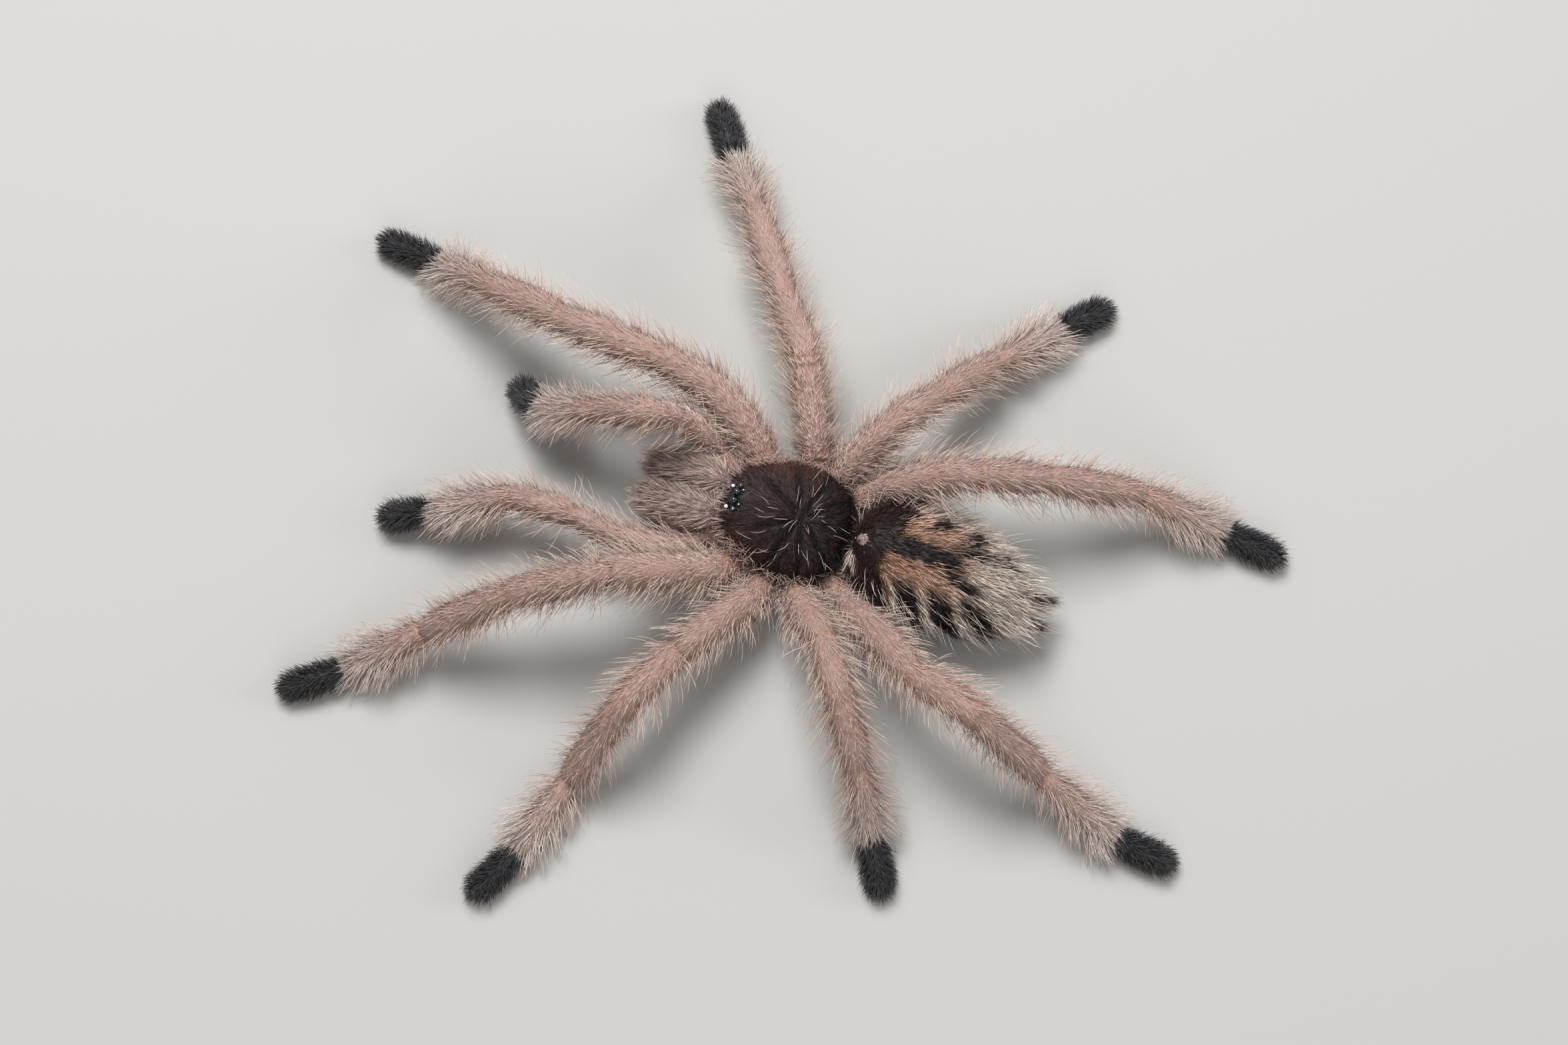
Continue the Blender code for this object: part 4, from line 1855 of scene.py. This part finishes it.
@dataclass
class Carapace:
    """The head shield: a low dome with radial grooves, a middle pit and the eye mound."""

    voxel: float = 0.055
    inset: float = 0.04
    pit_share: float = 0.63
    slit_size: Three = (0.3, 0.1, 0.14)
    groove_angles: tuple[float, ...] = (30.0, 68.0, 104.0, 138.0)
    groove_depth: float = 0.12
    groove_width: float = 0.14
    groove_start: Range = (0.15, 0.6)
    groove_end: Range = (1.9, 2.7)
    mound_reach: Three = (0.8, 0.6, 0.45)
    mound_edge: Range = (0.8, 1.05)
    streaks: tuple[Three, ...] = ((9.0, 0.7, 0.3), (23.0, 0.0, 0.2))
    rear_shade_slant: float = 0.5
    rear_reach: Range = (-2.2, 0.9)
    # Weights of the dark streaks, of the painted shade to the rear and of the painted shade in the
    # grooves.
    dusk: Three = (0.3, 0.7, 0.45)
    swirl: Range = (0.15, 0.5)
    rim_slope: Range = (0.1, 0.7)
    rim_length: Range = (1.0, 0.7)
    rim_lift: Range = (1.0, 1.2)
    pit_reach: Range = (0.2, 0.5)
    pit_lift: float = 0.8
    flush_reach: Range = (0.9, 2.0)
    setae_patch: float = 0.6
    setae_thinning: float = 0.27
    eye_clearance: float = 2.4
    fuzz: Hair = Hair(230, (0.3, 0.58), 0.028, 0.28, wander=0.4, clump=0.35)
    setae: Hair = Hair(9.5, (0.5, 0.95), 0.033, 0.45, bands=4, droop=0.5, wander=0.5, curl=0.2)
    fringe: Hair = Hair(100, (0.45, 0.9), 0.03, 1.0, bands=4, droop=0.5, wander=1.5, curl=0.9)
    brush: Hair = Hair(120, (0.45, 0.9), 0.028, 1.15, bands=3, droop=0.2, wander=0.5, clump=0.3)

    def __post_init__(self) -> None:
        """Finds the pit and the eye mound."""
        self.low, self.high = node_box("carapace")
        self.middle = (self.low + self.high) / 2
        pit = self.low[1] + self.pit_share * (self.high[1] - self.low[1])
        self.pit = np.array([self.middle[0], pit])
        self.mound = np.mean([node_box(node).mean(0) for node in EYE_NODES], axis=0)

    def build(self) -> None:
        """Sculpts the shell and shows it."""
        self.shape = fine_shell("carapace", self.voxel, self.inset)
        points = self.shape.points
        offsets = points[:, :2] - self.pit
        bearing = np.degrees(np.arctan2(offsets[:, 0], -offsets[:, 1]))
        groove = self.grooves(bearing, self.from_pit(points))
        length, width, depth = self.slit_size
        slit = hump(offsets[:, 0], length) * hump(offsets[:, 1], width)
        upper = smooth_step(self.shape.normals[:, 2], 0.0, 0.4)
        points[:, 2] -= upper * (self.groove_depth * groove + depth * slit)
        mound = 1.0 - smooth_step(self.from_mound(points), *self.mound_edge)
        # Painted shade: the shell's colour is kept dark in the grooves and the pit.
        marks = {"glow": 1.0 - 0.8 * np.clip(groove + slit, 0.0, 1.0), "mound": mound}
        mesh = shell_mesh("carapace_shell", self.shape, marks)
        show_piece("carapace_shell", mesh, "carapace_shell", Slot.CARAPACE, ("carapace",))

    def grooves(self, bearing: Array, away: Array) -> Array:
        """How deep in a groove places are, from their bearing and distance from the pit.

        Args:
            bearing: The bearing in degrees, from straight ahead.
            away: The distance.

        Returns:
            Zero outside the grooves and one in the middle of one.
        """
        sunk = np.zeros(len(away))
        for angle in self.groove_angles:
            aside = np.radians(np.abs(np.abs(bearing) - angle)) * away
            sunk += hump(aside, self.groove_width)
        ends = 1.0 - smooth_step(away, *self.groove_end)
        return sunk * smooth_step(away, *self.groove_start) * ends

    def from_pit(self, places: Array) -> Array:
        """How far places are from the pit, seen from above."""
        return np.linalg.norm(places[:, :2] - self.pit, axis=1)

    def from_mound(self, places: Array) -> Array:
        """How far places are from the eye mound's middle, where one is its edge."""
        return np.linalg.norm((places - self.mound) / self.mound_reach, axis=1)

    def roots(self, density: float) -> Roots:
        """Hair roots over the upper side, lying outwards from the pit, marked with dark streaks and
        with painted shade to the rear and in the grooves.

        Args:
            density: Roots for each square millimetre.

        Returns:
            The roots.
        """
        places, normals = self.shape.scatter(density)
        lies = np.zeros_like(places)
        lies[:, :2] = unit(places[:, :2] - self.pit)
        spots = patch_spots(*((places - self.low) / (self.high - self.low))[:, :2].T)
        bearing = np.arctan2(lies[:, 0], -lies[:, 1])
        streaks = np.full(len(places), 0.5)
        for rate, phase, strength in self.streaks:
            streaks += strength * np.sin(rate * bearing + phase)
        # Painted shade: the hairs darken towards the rear and the left, the side away from the key
        # light, and in the grooves; the radial streaks are their own colour.
        slanted = places[:, 1] + self.rear_shade_slant * places[:, 0]
        rear = smooth_step(slanted, *(self.middle[1] + reach for reach in self.rear_reach))
        away = self.from_pit(places)
        sunk = self.grooves(np.degrees(bearing), away)
        by_streak, by_rear_shade, by_groove_shade = self.dusk
        dusk = np.clip(by_streak * streaks + by_rear_shade * rear + by_groove_shade * sunk, 0.0, 1.0)
        near_pit = (1.0 - smooth_step(away, *self.swirl))[:, None]
        lies[:, :2] += DICE.standard_normal((len(places), 2)) * near_pit
        return Roots(places, normals, lies, spots, {"rear": dusk})

    def grow(self) -> None:
        """Grows the shield's hairs."""
        self._grow_fuzz()
        self._grow_setae()
        self._grow_fringe()
        self._grow_brush()

    def _grow_fuzz(self) -> None:
        """Grows the dark fuzz, which stands up at the rim and round the pit."""
        coat = Coat("carapace_fuzz", Slot.CARAPACE, "carapace_fuzz")
        roots = self.roots(self.fuzz.density)
        above = roots.normals[:, 2]
        chosen = (above > 0.0) & (self.from_mound(roots.places) > 0.9)
        rim = 1.0 - smooth_step(above, *self.rim_slope)
        near_pit = 1.0 - smooth_step(self.from_pit(roots.places), *self.pit_reach)
        scale = ramp(self.rim_length, rim)
        raised = ramp(self.rim_lift, rim) + self.pit_lift * near_pit
        aside = np.abs(roots.places[:, 0] - self.middle[0])
        roots.marks["flush"] = smooth_step(aside, *self.flush_reach)
        coat.grow(roots.keep(chosen), self.fuzz, scale[chosen], raised[chosen])
        coat.finish()

    def _grow_setae(self) -> None:
        """Grows the white setae, thinned out away from the pit and kept off the eyes."""
        coat = Coat("carapace_setae", Slot.CARAPACE, "white_setae")
        roots = self.roots(self.setae.density)
        from_mound = self.from_mound(roots.places)
        behind = (roots.places[:, 1] > self.mound[1]) & (from_mound < self.eye_clearance)
        chosen = (roots.normals[:, 2] > 0.4) & (from_mound > 1.0) & ~behind
        near_pit = self.from_pit(roots.places) < self.setae_patch
        kept = np.where(near_pit, 1.0, self.setae_thinning)
        chosen &= DICE.random(len(kept)) < kept
        coat.grow(roots.keep(chosen), self.setae)
        coat.finish()

    def _grow_fringe(self) -> None:
        """Grows the curly fringe round the rim, darkened at the rear by painted shade."""
        coat = Coat("carapace_fringe", Slot.CARAPACE, "rim_hair")
        roots = self.roots(self.fringe.density)
        ahead, rear = roots.places[:, 1], self.high[1]
        # Painted shade: the fringe darkens over its last millimetre to the rear.
        roots.marks["rear"] = smooth_step(ahead, rear - 1.0, rear - 0.5)
        aside = np.abs(roots.places[:, 0] - self.mound[0])
        clear = (ahead > self.mound[1] + 0.5) | (aside > 1.55)
        rim = np.abs(roots.normals[:, 2] - 0.2) < 0.4
        coat.grow(roots.keep(rim & clear), self.fringe)
        coat.finish()

    def _grow_brush(self) -> None:
        """Grows the hairs of the front edge, which hang over the jaws."""
        coat = Coat("brow_brush", Slot.HEAD_COAT, "jaw_hair")
        roots = self.roots(self.brush.density)
        chosen = roots.places[:, 1] < self.mound[1] + 0.1
        chosen &= np.abs(roots.normals[:, 2]) < 0.6
        chosen &= self.from_mound(roots.places) > 0.75
        roots.lies[:] = (0.0, -0.4, -1.0)
        coat.grow(roots.keep(chosen), self.brush)
        coat.finish()


EYE_NODES = tuple(
    f"eye_{row}_{place}_{side.letter}"
    for row in ("anterior", "posterior")
    for place in ("median", "lateral")
    for side in Side
)


@dataclass
class Eyes:
    """Eight wet eyes: the front middle pair black with a faint blue painted sheen, the others with
    a pearly patch that is partly their own pale colour and partly a painted highlight.
    """

    flat: float = 0.94
    gaze: Three = (0.9, 0.5, 0.9)
    pearl: Range = (0.72, 0.9)
    small_pearl: Range = (0.86, 0.99)

    def build(self) -> None:
        """Puts a fine lens in place of each eye's solid."""
        boxes = [node_box(node) for node in EYE_NODES]
        middle = np.mean([box.mean(0) for box in boxes], axis=0)
        for node, (low, high) in zip(EYE_NODES, boxes):
            centre, radius = (low + high) / 2, (high - low).max() / 2
            half_sizes = radius * np.array([1.0, 1.0, self.flat])
            shape = plain_shape(*ball_form(centre, half_sizes, EYE_GRAIN))
            # Painted highlight: the side of each lens that faces outwards and up takes the finish's
            # second colour, a pearly white that is partly the eye's own pale colour, and on the
            # front middle pair a faint blue painted sheen.
            across, ahead, up = self.gaze
            aside = centre - middle
            gaze = unit(np.array([aside[0] * across, aside[1] * ahead, up]))
            facing = (unit(shape.points - centre) * gaze).sum(1)
            glow = smooth_step(facing, *(self.pearl if "anterior" in node else self.small_pearl))
            name = node.replace("eye", "lens")
            mesh = shell_mesh(name, shape, {"glow": glow})
            finish = "eye_gloss" if "anterior_median" in node else "eye_pearl"
            show_piece(name, mesh, finish, Slot.EYE, (node,))


@dataclass
class Jaw:
    """One chelicera with its fang and its hairs."""

    side: Side
    voxel: float = 0.06
    inset: float = 0.04
    narrowing: float = 0.93
    down: Hair = Hair(190, (0.35, 0.6), 0.028, 0.2, wander=0.15, clump=0.3)
    long: Hair = Hair(75, (0.7, 1.2), 0.03, 0.45, bands=3, wander=0.2, clump=0.4)
    lie: Three = (0.12, -1.0, -0.25)
    inward_lean: float = 0.45
    inward_reach: Range = (0.2, 0.9)
    seam: float = 0.06
    seam_start: float = 0.45
    front_start: float = 0.02
    rear_length: Range = (0.8, 0.2)
    full_length: Range = (0.4, 1.0)

    def build(self) -> None:
        """Builds the jaw's shell, its hairs and the fang under it."""
        letter = self.side.letter
        node = f"chelicera_{letter}"
        self.low, self.high = node_box(node)
        self.inner = self.low[0] if self.side is Side.LEFT else self.high[0]
        shape = fine_shell(node, self.voxel, self.inset)
        across = shape.points[:, 0]
        across[:] = self.inner + (across - self.inner) * self.narrowing
        # Painted shade: the plate is kept dark along its inner edge, where the two jaws meet.
        mesh = shell_mesh(node, shape, {"glow": smooth_step(np.abs(across - self.inner), 0.1, 0.5)})
        show_piece(f"jaw_{letter}", mesh, "jaw_plate", Slot.HEAD_COAT, (node,))
        coat = Coat(f"jaw_coat_{letter}", Slot.HEAD_COAT, "jaw_hair")
        self._grow(coat, shape)
        coat.finish()
        node = f"fang_{letter}"
        shape = fine_shell(node, 0.03, 0.0, rounds=6)
        low, high = node_box(node)
        glow = smooth_step((shape.points[:, 1] - low[1]) / (high - low)[1], 0.5, 1.0)
        mesh = shell_mesh(node, shape, {"glow": glow})
        show_piece(f"fang_tooth_{letter}", mesh, "fang_gloss", Slot.FANG, (node,))

    def _grow(self, coat: Coat, shape: Shape) -> None:
        """Grows the down and the long hairs forward over the shell.

        Args:
            coat: The coat that takes them.
            shape: The shell.
        """
        for kind in (self.down, self.long):
            places, normals = shape.scatter(kind.density)
            aside = np.abs(places[:, 0] - self.inner)
            inward = 1.0 - smooth_step(aside, *self.inward_reach)
            lies = np.tile(self.lie, (len(places), 1))
            lies[:, 0] = self.side.sign * (lies[:, 0] - self.inward_lean * inward)
            spots = wrapped_spots(places, self.low, self.high)
            front = 1.0 - (places[:, 1] - self.low[1]) / (self.high - self.low)[1]
            chosen = (aside > self.seam) | (front > self.seam_start)
            chosen &= front > self.front_start
            scale = ramp(self.rear_length, smooth_step(front, *self.full_length))
            roots = Roots(places, normals, lies, spots, {})
            coat.grow(roots.keep(chosen), kind, scale[chosen])


@dataclass
class HairyPlate:
    """A plain plate or spinneret with one coat of hairs."""

    node: str
    piece: str
    slot: Slot
    finishes: tuple[str, str]
    lie: Three
    hair: Hair
    voxel: float = 0.06
    inset: float = 0.05
    bare: float = 0.0
    steepest: float = 0.8

    def build(self) -> None:
        """Builds the plate in the first of its finishes, and the hairs in the second."""
        shape = fine_shell(self.node, self.voxel, self.inset)
        mesh = shell_mesh(self.piece, shape, {"glow": np.ones(len(shape.points))})
        show_piece(self.piece, mesh, self.finishes[0], self.slot, (self.node,))
        low, high = node_box(self.node)
        places, normals = shape.scatter(self.hair.density)
        lies = np.tile(self.lie, (len(places), 1))
        roots = Roots(places, normals, lies, wrapped_spots(places, low, high), {})
        chosen = (places[:, 1] - low[1]) / (high - low)[1] > self.bare
        chosen &= np.abs((normals * unit(lies)).sum(1)) < self.steepest
        coat = Coat(f"{self.piece}_coat", self.slot, self.finishes[1])
        coat.grow(roots.keep(chosen), self.hair)
        coat.finish()


@dataclass
class Claws:
    """The two tiny claws at the end of one limb."""

    limb: Limb
    length: float = 0.34
    radius: float = 0.035
    apart: float = 0.1
    set_back: float = 0.12
    bend: float = 1.7
    arch: Range = (0.75, 0.5)
    point: float = 0.004
    steps: int = 10
    tube_sides: int = 8

    def build(self) -> None:
        """Sweeps two hooks out of the toe."""
        tip = self.limb.centres[-1]
        ahead, up, side = self.limb.tangents[-1], self.limb.uppers[-1], self.limb.sides[-1]
        shares = np.linspace(0.0, 1.0, self.steps)
        turn = shares * self.bend
        drop, height = self.arch
        radii = self.radius * (1.0 - shares) ** 0.6 + self.point
        points, faces = [], []
        for sign in (-1.0, 1.0):
            line = tip - ahead * self.set_back + side * self.apart * sign
            line = line + ahead * (np.sin(turn) * self.length)[:, None]
            line = line + up * ((np.cos(turn) - drop) * self.length * height)[:, None]
            line[:, 2] = np.maximum(line[:, 2], self.radius + 0.01)
            along = unit(np.gradient(line, axis=0))
            across = unit(np.cross(along, side))
            more, sheets = sweep(line, across, np.cross(along, across), radii, self.tube_sides)
            first = sum(map(len, points))
            faces += [[corner + first for corner in sheet] for sheet in sheets]
            points.append(more)
        shape = plain_shape(np.concatenate(points), faces)
        name = f"claws_{self.limb.name}"
        mesh = shell_mesh(name, shape, {"glow": np.zeros(len(shape.points))})
        show_piece(name, mesh, "claw_gloss", Slot.FANG)


# ---- studio


@dataclass(frozen=True)
class Lamp:
    """A soft square light: its place and size in metres, and its power in watts."""

    name: str
    place: Three
    size: float
    power: float

    def hang(self, target: Vector) -> None:
        """Hangs it so that it faces the spider.

        Args:
            target: What it faces.
        """
        lamp = bpy.data.lights.new(self.name, "AREA")
        lamp.size = self.size
        lamp.energy = self.power
        light = bpy.data.objects.new(self.name, lamp)
        light.location = self.place
        light.rotation_euler = (target - Vector(self.place)).to_track_quat("-Z", "Y").to_euler()
        bpy.context.scene.collection.objects.link(light)


@dataclass
class Studio:
    """A pale floor, soft lights and the camera."""

    azimuth: float = 108.5
    elevation: float = 75.0
    distance: float = 0.181
    lens: float = 100.0
    nearest: float = 0.005
    aim: Three = (0.26, 0.03, 3.0)
    floor_size: float = 2.0
    sky: tuple[float, float, float, float] = (1.0, 0.98, 0.95, 1.0)
    sky_strength: float = 0.26
    lamps: tuple[Lamp, ...] = (
        Lamp("key", (-0.10, -0.07, 0.24), 0.13, 0.78),
        Lamp("fill", (0.28, 0.12, 0.24), 0.25, 0.3),
        Lamp("rim", (-0.12, 0.30, 0.14), 0.15, 0.3),
    )

    def build(self) -> None:
        """Sets everything up round the spider."""
        low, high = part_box("carapace")
        across, ahead, up = (length * MM for length in self.aim)
        target = Vector(((low.x + high.x) / 2 + across, (low.y + high.y) / 2 + ahead, up))
        self._floor()
        self._camera(target)
        for lamp in self.lamps:
            lamp.hang(target)
        world = bpy.data.worlds.new("studio")
        world.use_nodes = True
        sky = world.node_tree.nodes["Background"]
        sky.inputs["Color"].default_value = self.sky
        sky.inputs["Strength"].default_value = self.sky_strength
        bpy.context.scene.world = world
        bpy.context.scene.view_settings.view_transform = "Standard"

    def _floor(self) -> None:
        """Lays the floor."""
        bpy.ops.mesh.primitive_plane_add(size=self.floor_size)
        floor = bpy.context.object
        floor.name = "floor"
        floor.data.materials.append(MATERIALS["floor_paint"])

    def _camera(self, target: Vector) -> None:
        """Aims the camera.

        Args:
            target: What it looks at.
        """
        turn, rise = math.radians(self.azimuth), math.radians(self.elevation)
        level = math.cos(rise)
        back = Vector((math.sin(turn) * level, -math.cos(turn) * level, math.sin(rise)))
        camera = bpy.data.objects.new("camera", bpy.data.cameras.new("camera"))
        camera.data.lens = self.lens
        camera.data.sensor_width = 36.0
        camera.data.clip_start = self.nearest
        camera.location = target + back * self.distance
        camera.rotation_euler = (-back).to_track_quat("-Z", "Y").to_euler()
        bpy.context.scene.collection.objects.link(camera)
        bpy.context.scene.camera = camera


# ---- the whole spider


LIMBS = {
    "leg_1": (1.93, 0.48), "leg_2": (2.06, 0.41), "leg_3": (2.14, 0.42), "leg_4": (2.22, 0.40),
    "palp": (2.36, 0.0),
}
SPINNERET_VOXELS = {"spinneret": 0.05, "median_spinneret": 0.03}
FINISHES = (
    SkinFinish("skin", 0.5, softness=0.12, relief=0.5, shine=0.35),
    LegHairFinish("leg_hair", 0.45, sheen=0.1, end=color(0.86, 0.75, 0.68), reach=0.8),
    HairFinish(
        "toe_hair", 0.42, sheen=0.15, reach=0.7, change=1.2,
        root=color(0.012, 0.012, 0.015), end=color(0.06, 0.062, 0.07),
    ),
    GlossFinish("claw_gloss", 0.25, relief=0.1),
    AbdomenHairFinish(
        "abdomen_hair", 0.55, shine=0.3, reach=1.0, change=1.2, end=color(0.95, 0.87, 0.8)
    ),
    HairFinish(
        "pale_setae", 0.42, reach=0.9, root=color(0.34, 0.25, 0.21), end=color(0.85, 0.78, 0.7)
    ),
    PlateFinish(
        "jaw_plate", 0.45, relief=0.5, dark=color(0.17, 0.1, 0.095), light=color(0.32, 0.205, 0.2)
    ),
    HairFinish(
        "jaw_hair", 0.42, reach=0.9, change=0.7,
        root=color(0.24, 0.145, 0.13), end=color(0.85, 0.7, 0.62),
    ),
    ShieldFinish(
        "carapace_shell", 0.62, relief=0.6, shine=0.22, light=color(0.035, 0.018, 0.016)
    ),
    ShieldHairFinish(
        "carapace_fuzz", 0.5, shine=0.35, reach=0.6, change=1.2, root=color(0.02, 0.01, 0.009),
        end=color(0.22, 0.135, 0.125), dusk=color(0.008, 0.004, 0.004),
    ),
    HairFinish(
        "white_setae", 0.4, reach=0.9, root=color(0.42, 0.34, 0.3), end=color(0.8, 0.72, 0.66)
    ),
    ShieldHairFinish(
        "rim_hair", 0.45, reach=0.8, root=color(0.3, 0.17, 0.14), end=color(0.7, 0.54, 0.47)
    ),
    # A faint blue painted sheen where the lens faces outwards and up.
    GlossFinish(
        "eye_gloss", 0.16, coat=1.0, base=color(0.004, 0.004, 0.005), rim=color(0.01, 0.02, 0.03)
    ),
    # A pearly patch that is partly a painted highlight where the lens faces outwards and up.
    GlossFinish(
        "eye_pearl", 0.16, coat=1.0, base=color(0.006, 0.006, 0.008), rim=color(0.95, 0.97, 0.95)
    ),
    GlossFinish("fang_gloss", 0.18, coat=0.6, relief=0.1, rim=color(0.16, 0.03, 0.012)),
    HairFinish(
        "cheek_hair", 0.45, reach=0.8, root=color(0.16, 0.055, 0.035), end=color(0.5, 0.27, 0.19)
    ),
    PlateFinish(
        "under_plate", 0.45, relief=0.5, dark=color(0.1, 0.045, 0.03), light=color(0.3, 0.17, 0.13)
    ),
    HairFinish("under_hair", 0.45, root=color(0.2, 0.11, 0.09), end=color(0.6, 0.46, 0.38)),
    PlateFinish("tail_plate", 0.5, relief=0.5, light=color(0.04, 0.03, 0.028)),
    HairFinish("tail_hair", 0.42, root=color(0.03, 0.024, 0.022), end=color(0.55, 0.48, 0.42)),
    Finish("floor_paint", 0.8),
)


def build_body() -> Skin:
    """Builds the skin with the coats and claws of the limbs and the abdomen.

    Returns:
        The skin.
    """
    limbs = [
        Limb(f"{kind}_{side.letter}", *sizes) for kind, sizes in LIMBS.items() for side in Side
    ]
    abdomen = Abdomen()
    skin = Skin(limbs, abdomen)
    skin.build()
    skin.dress()
    for number, limb in enumerate(limbs):
        LimbCoat(limb, skin.part(number)).grow()
        Claws(limb).build()
    AbdomenCoat(abdomen, skin.part(skin.abdomen_form)).grow()
    return skin


def build_head() -> None:
    """Builds the head shield, the eyes and the jaws."""
    shield = Carapace()
    shield.build()
    shield.grow()
    Eyes().build()
    for side in Side:
        Jaw(side).build()


def build_trim(skin: Skin) -> None:
    """Builds the brow's and the underside's hairs, the breast plate and the spinnerets.

    Args:
        skin: The skin they grow on.
    """
    skin.grow_brow()
    down = Hair(130, (0.3, 0.55), 0.028, 0.4, clump=0.3)
    finishes = ("under_plate", "under_hair")
    HairyPlate(
        "sternum", "breast_plate", Slot.UNDERSIDE, finishes, (0.0, 1.0, 0.0), down
    ).build()
    skin.grow_under()
    down = Hair(210, (0.35, 0.7), 0.028, 0.35)
    finishes = ("tail_plate", "tail_hair")
    for name, voxel in SPINNERET_VOXELS.items():
        for side in Side:
            node = f"{name}_{side.letter}"
            HairyPlate(
                node, f"tail_{node}", Slot.SPINNERET, finishes, (0.0, 1.0, 0.1), down, voxel, 0.03,
                bare=0.4,
            ).build()


def main() -> None:
    """Builds the whole spider and its studio."""
    groups = Groups()
    MATERIALS.update((finish.name, finish.material(groups)) for finish in FINISHES)
    skin = build_body()
    build_head()
    build_trim(skin)
    Studio().build()


if __name__ == "__main__":
    main()
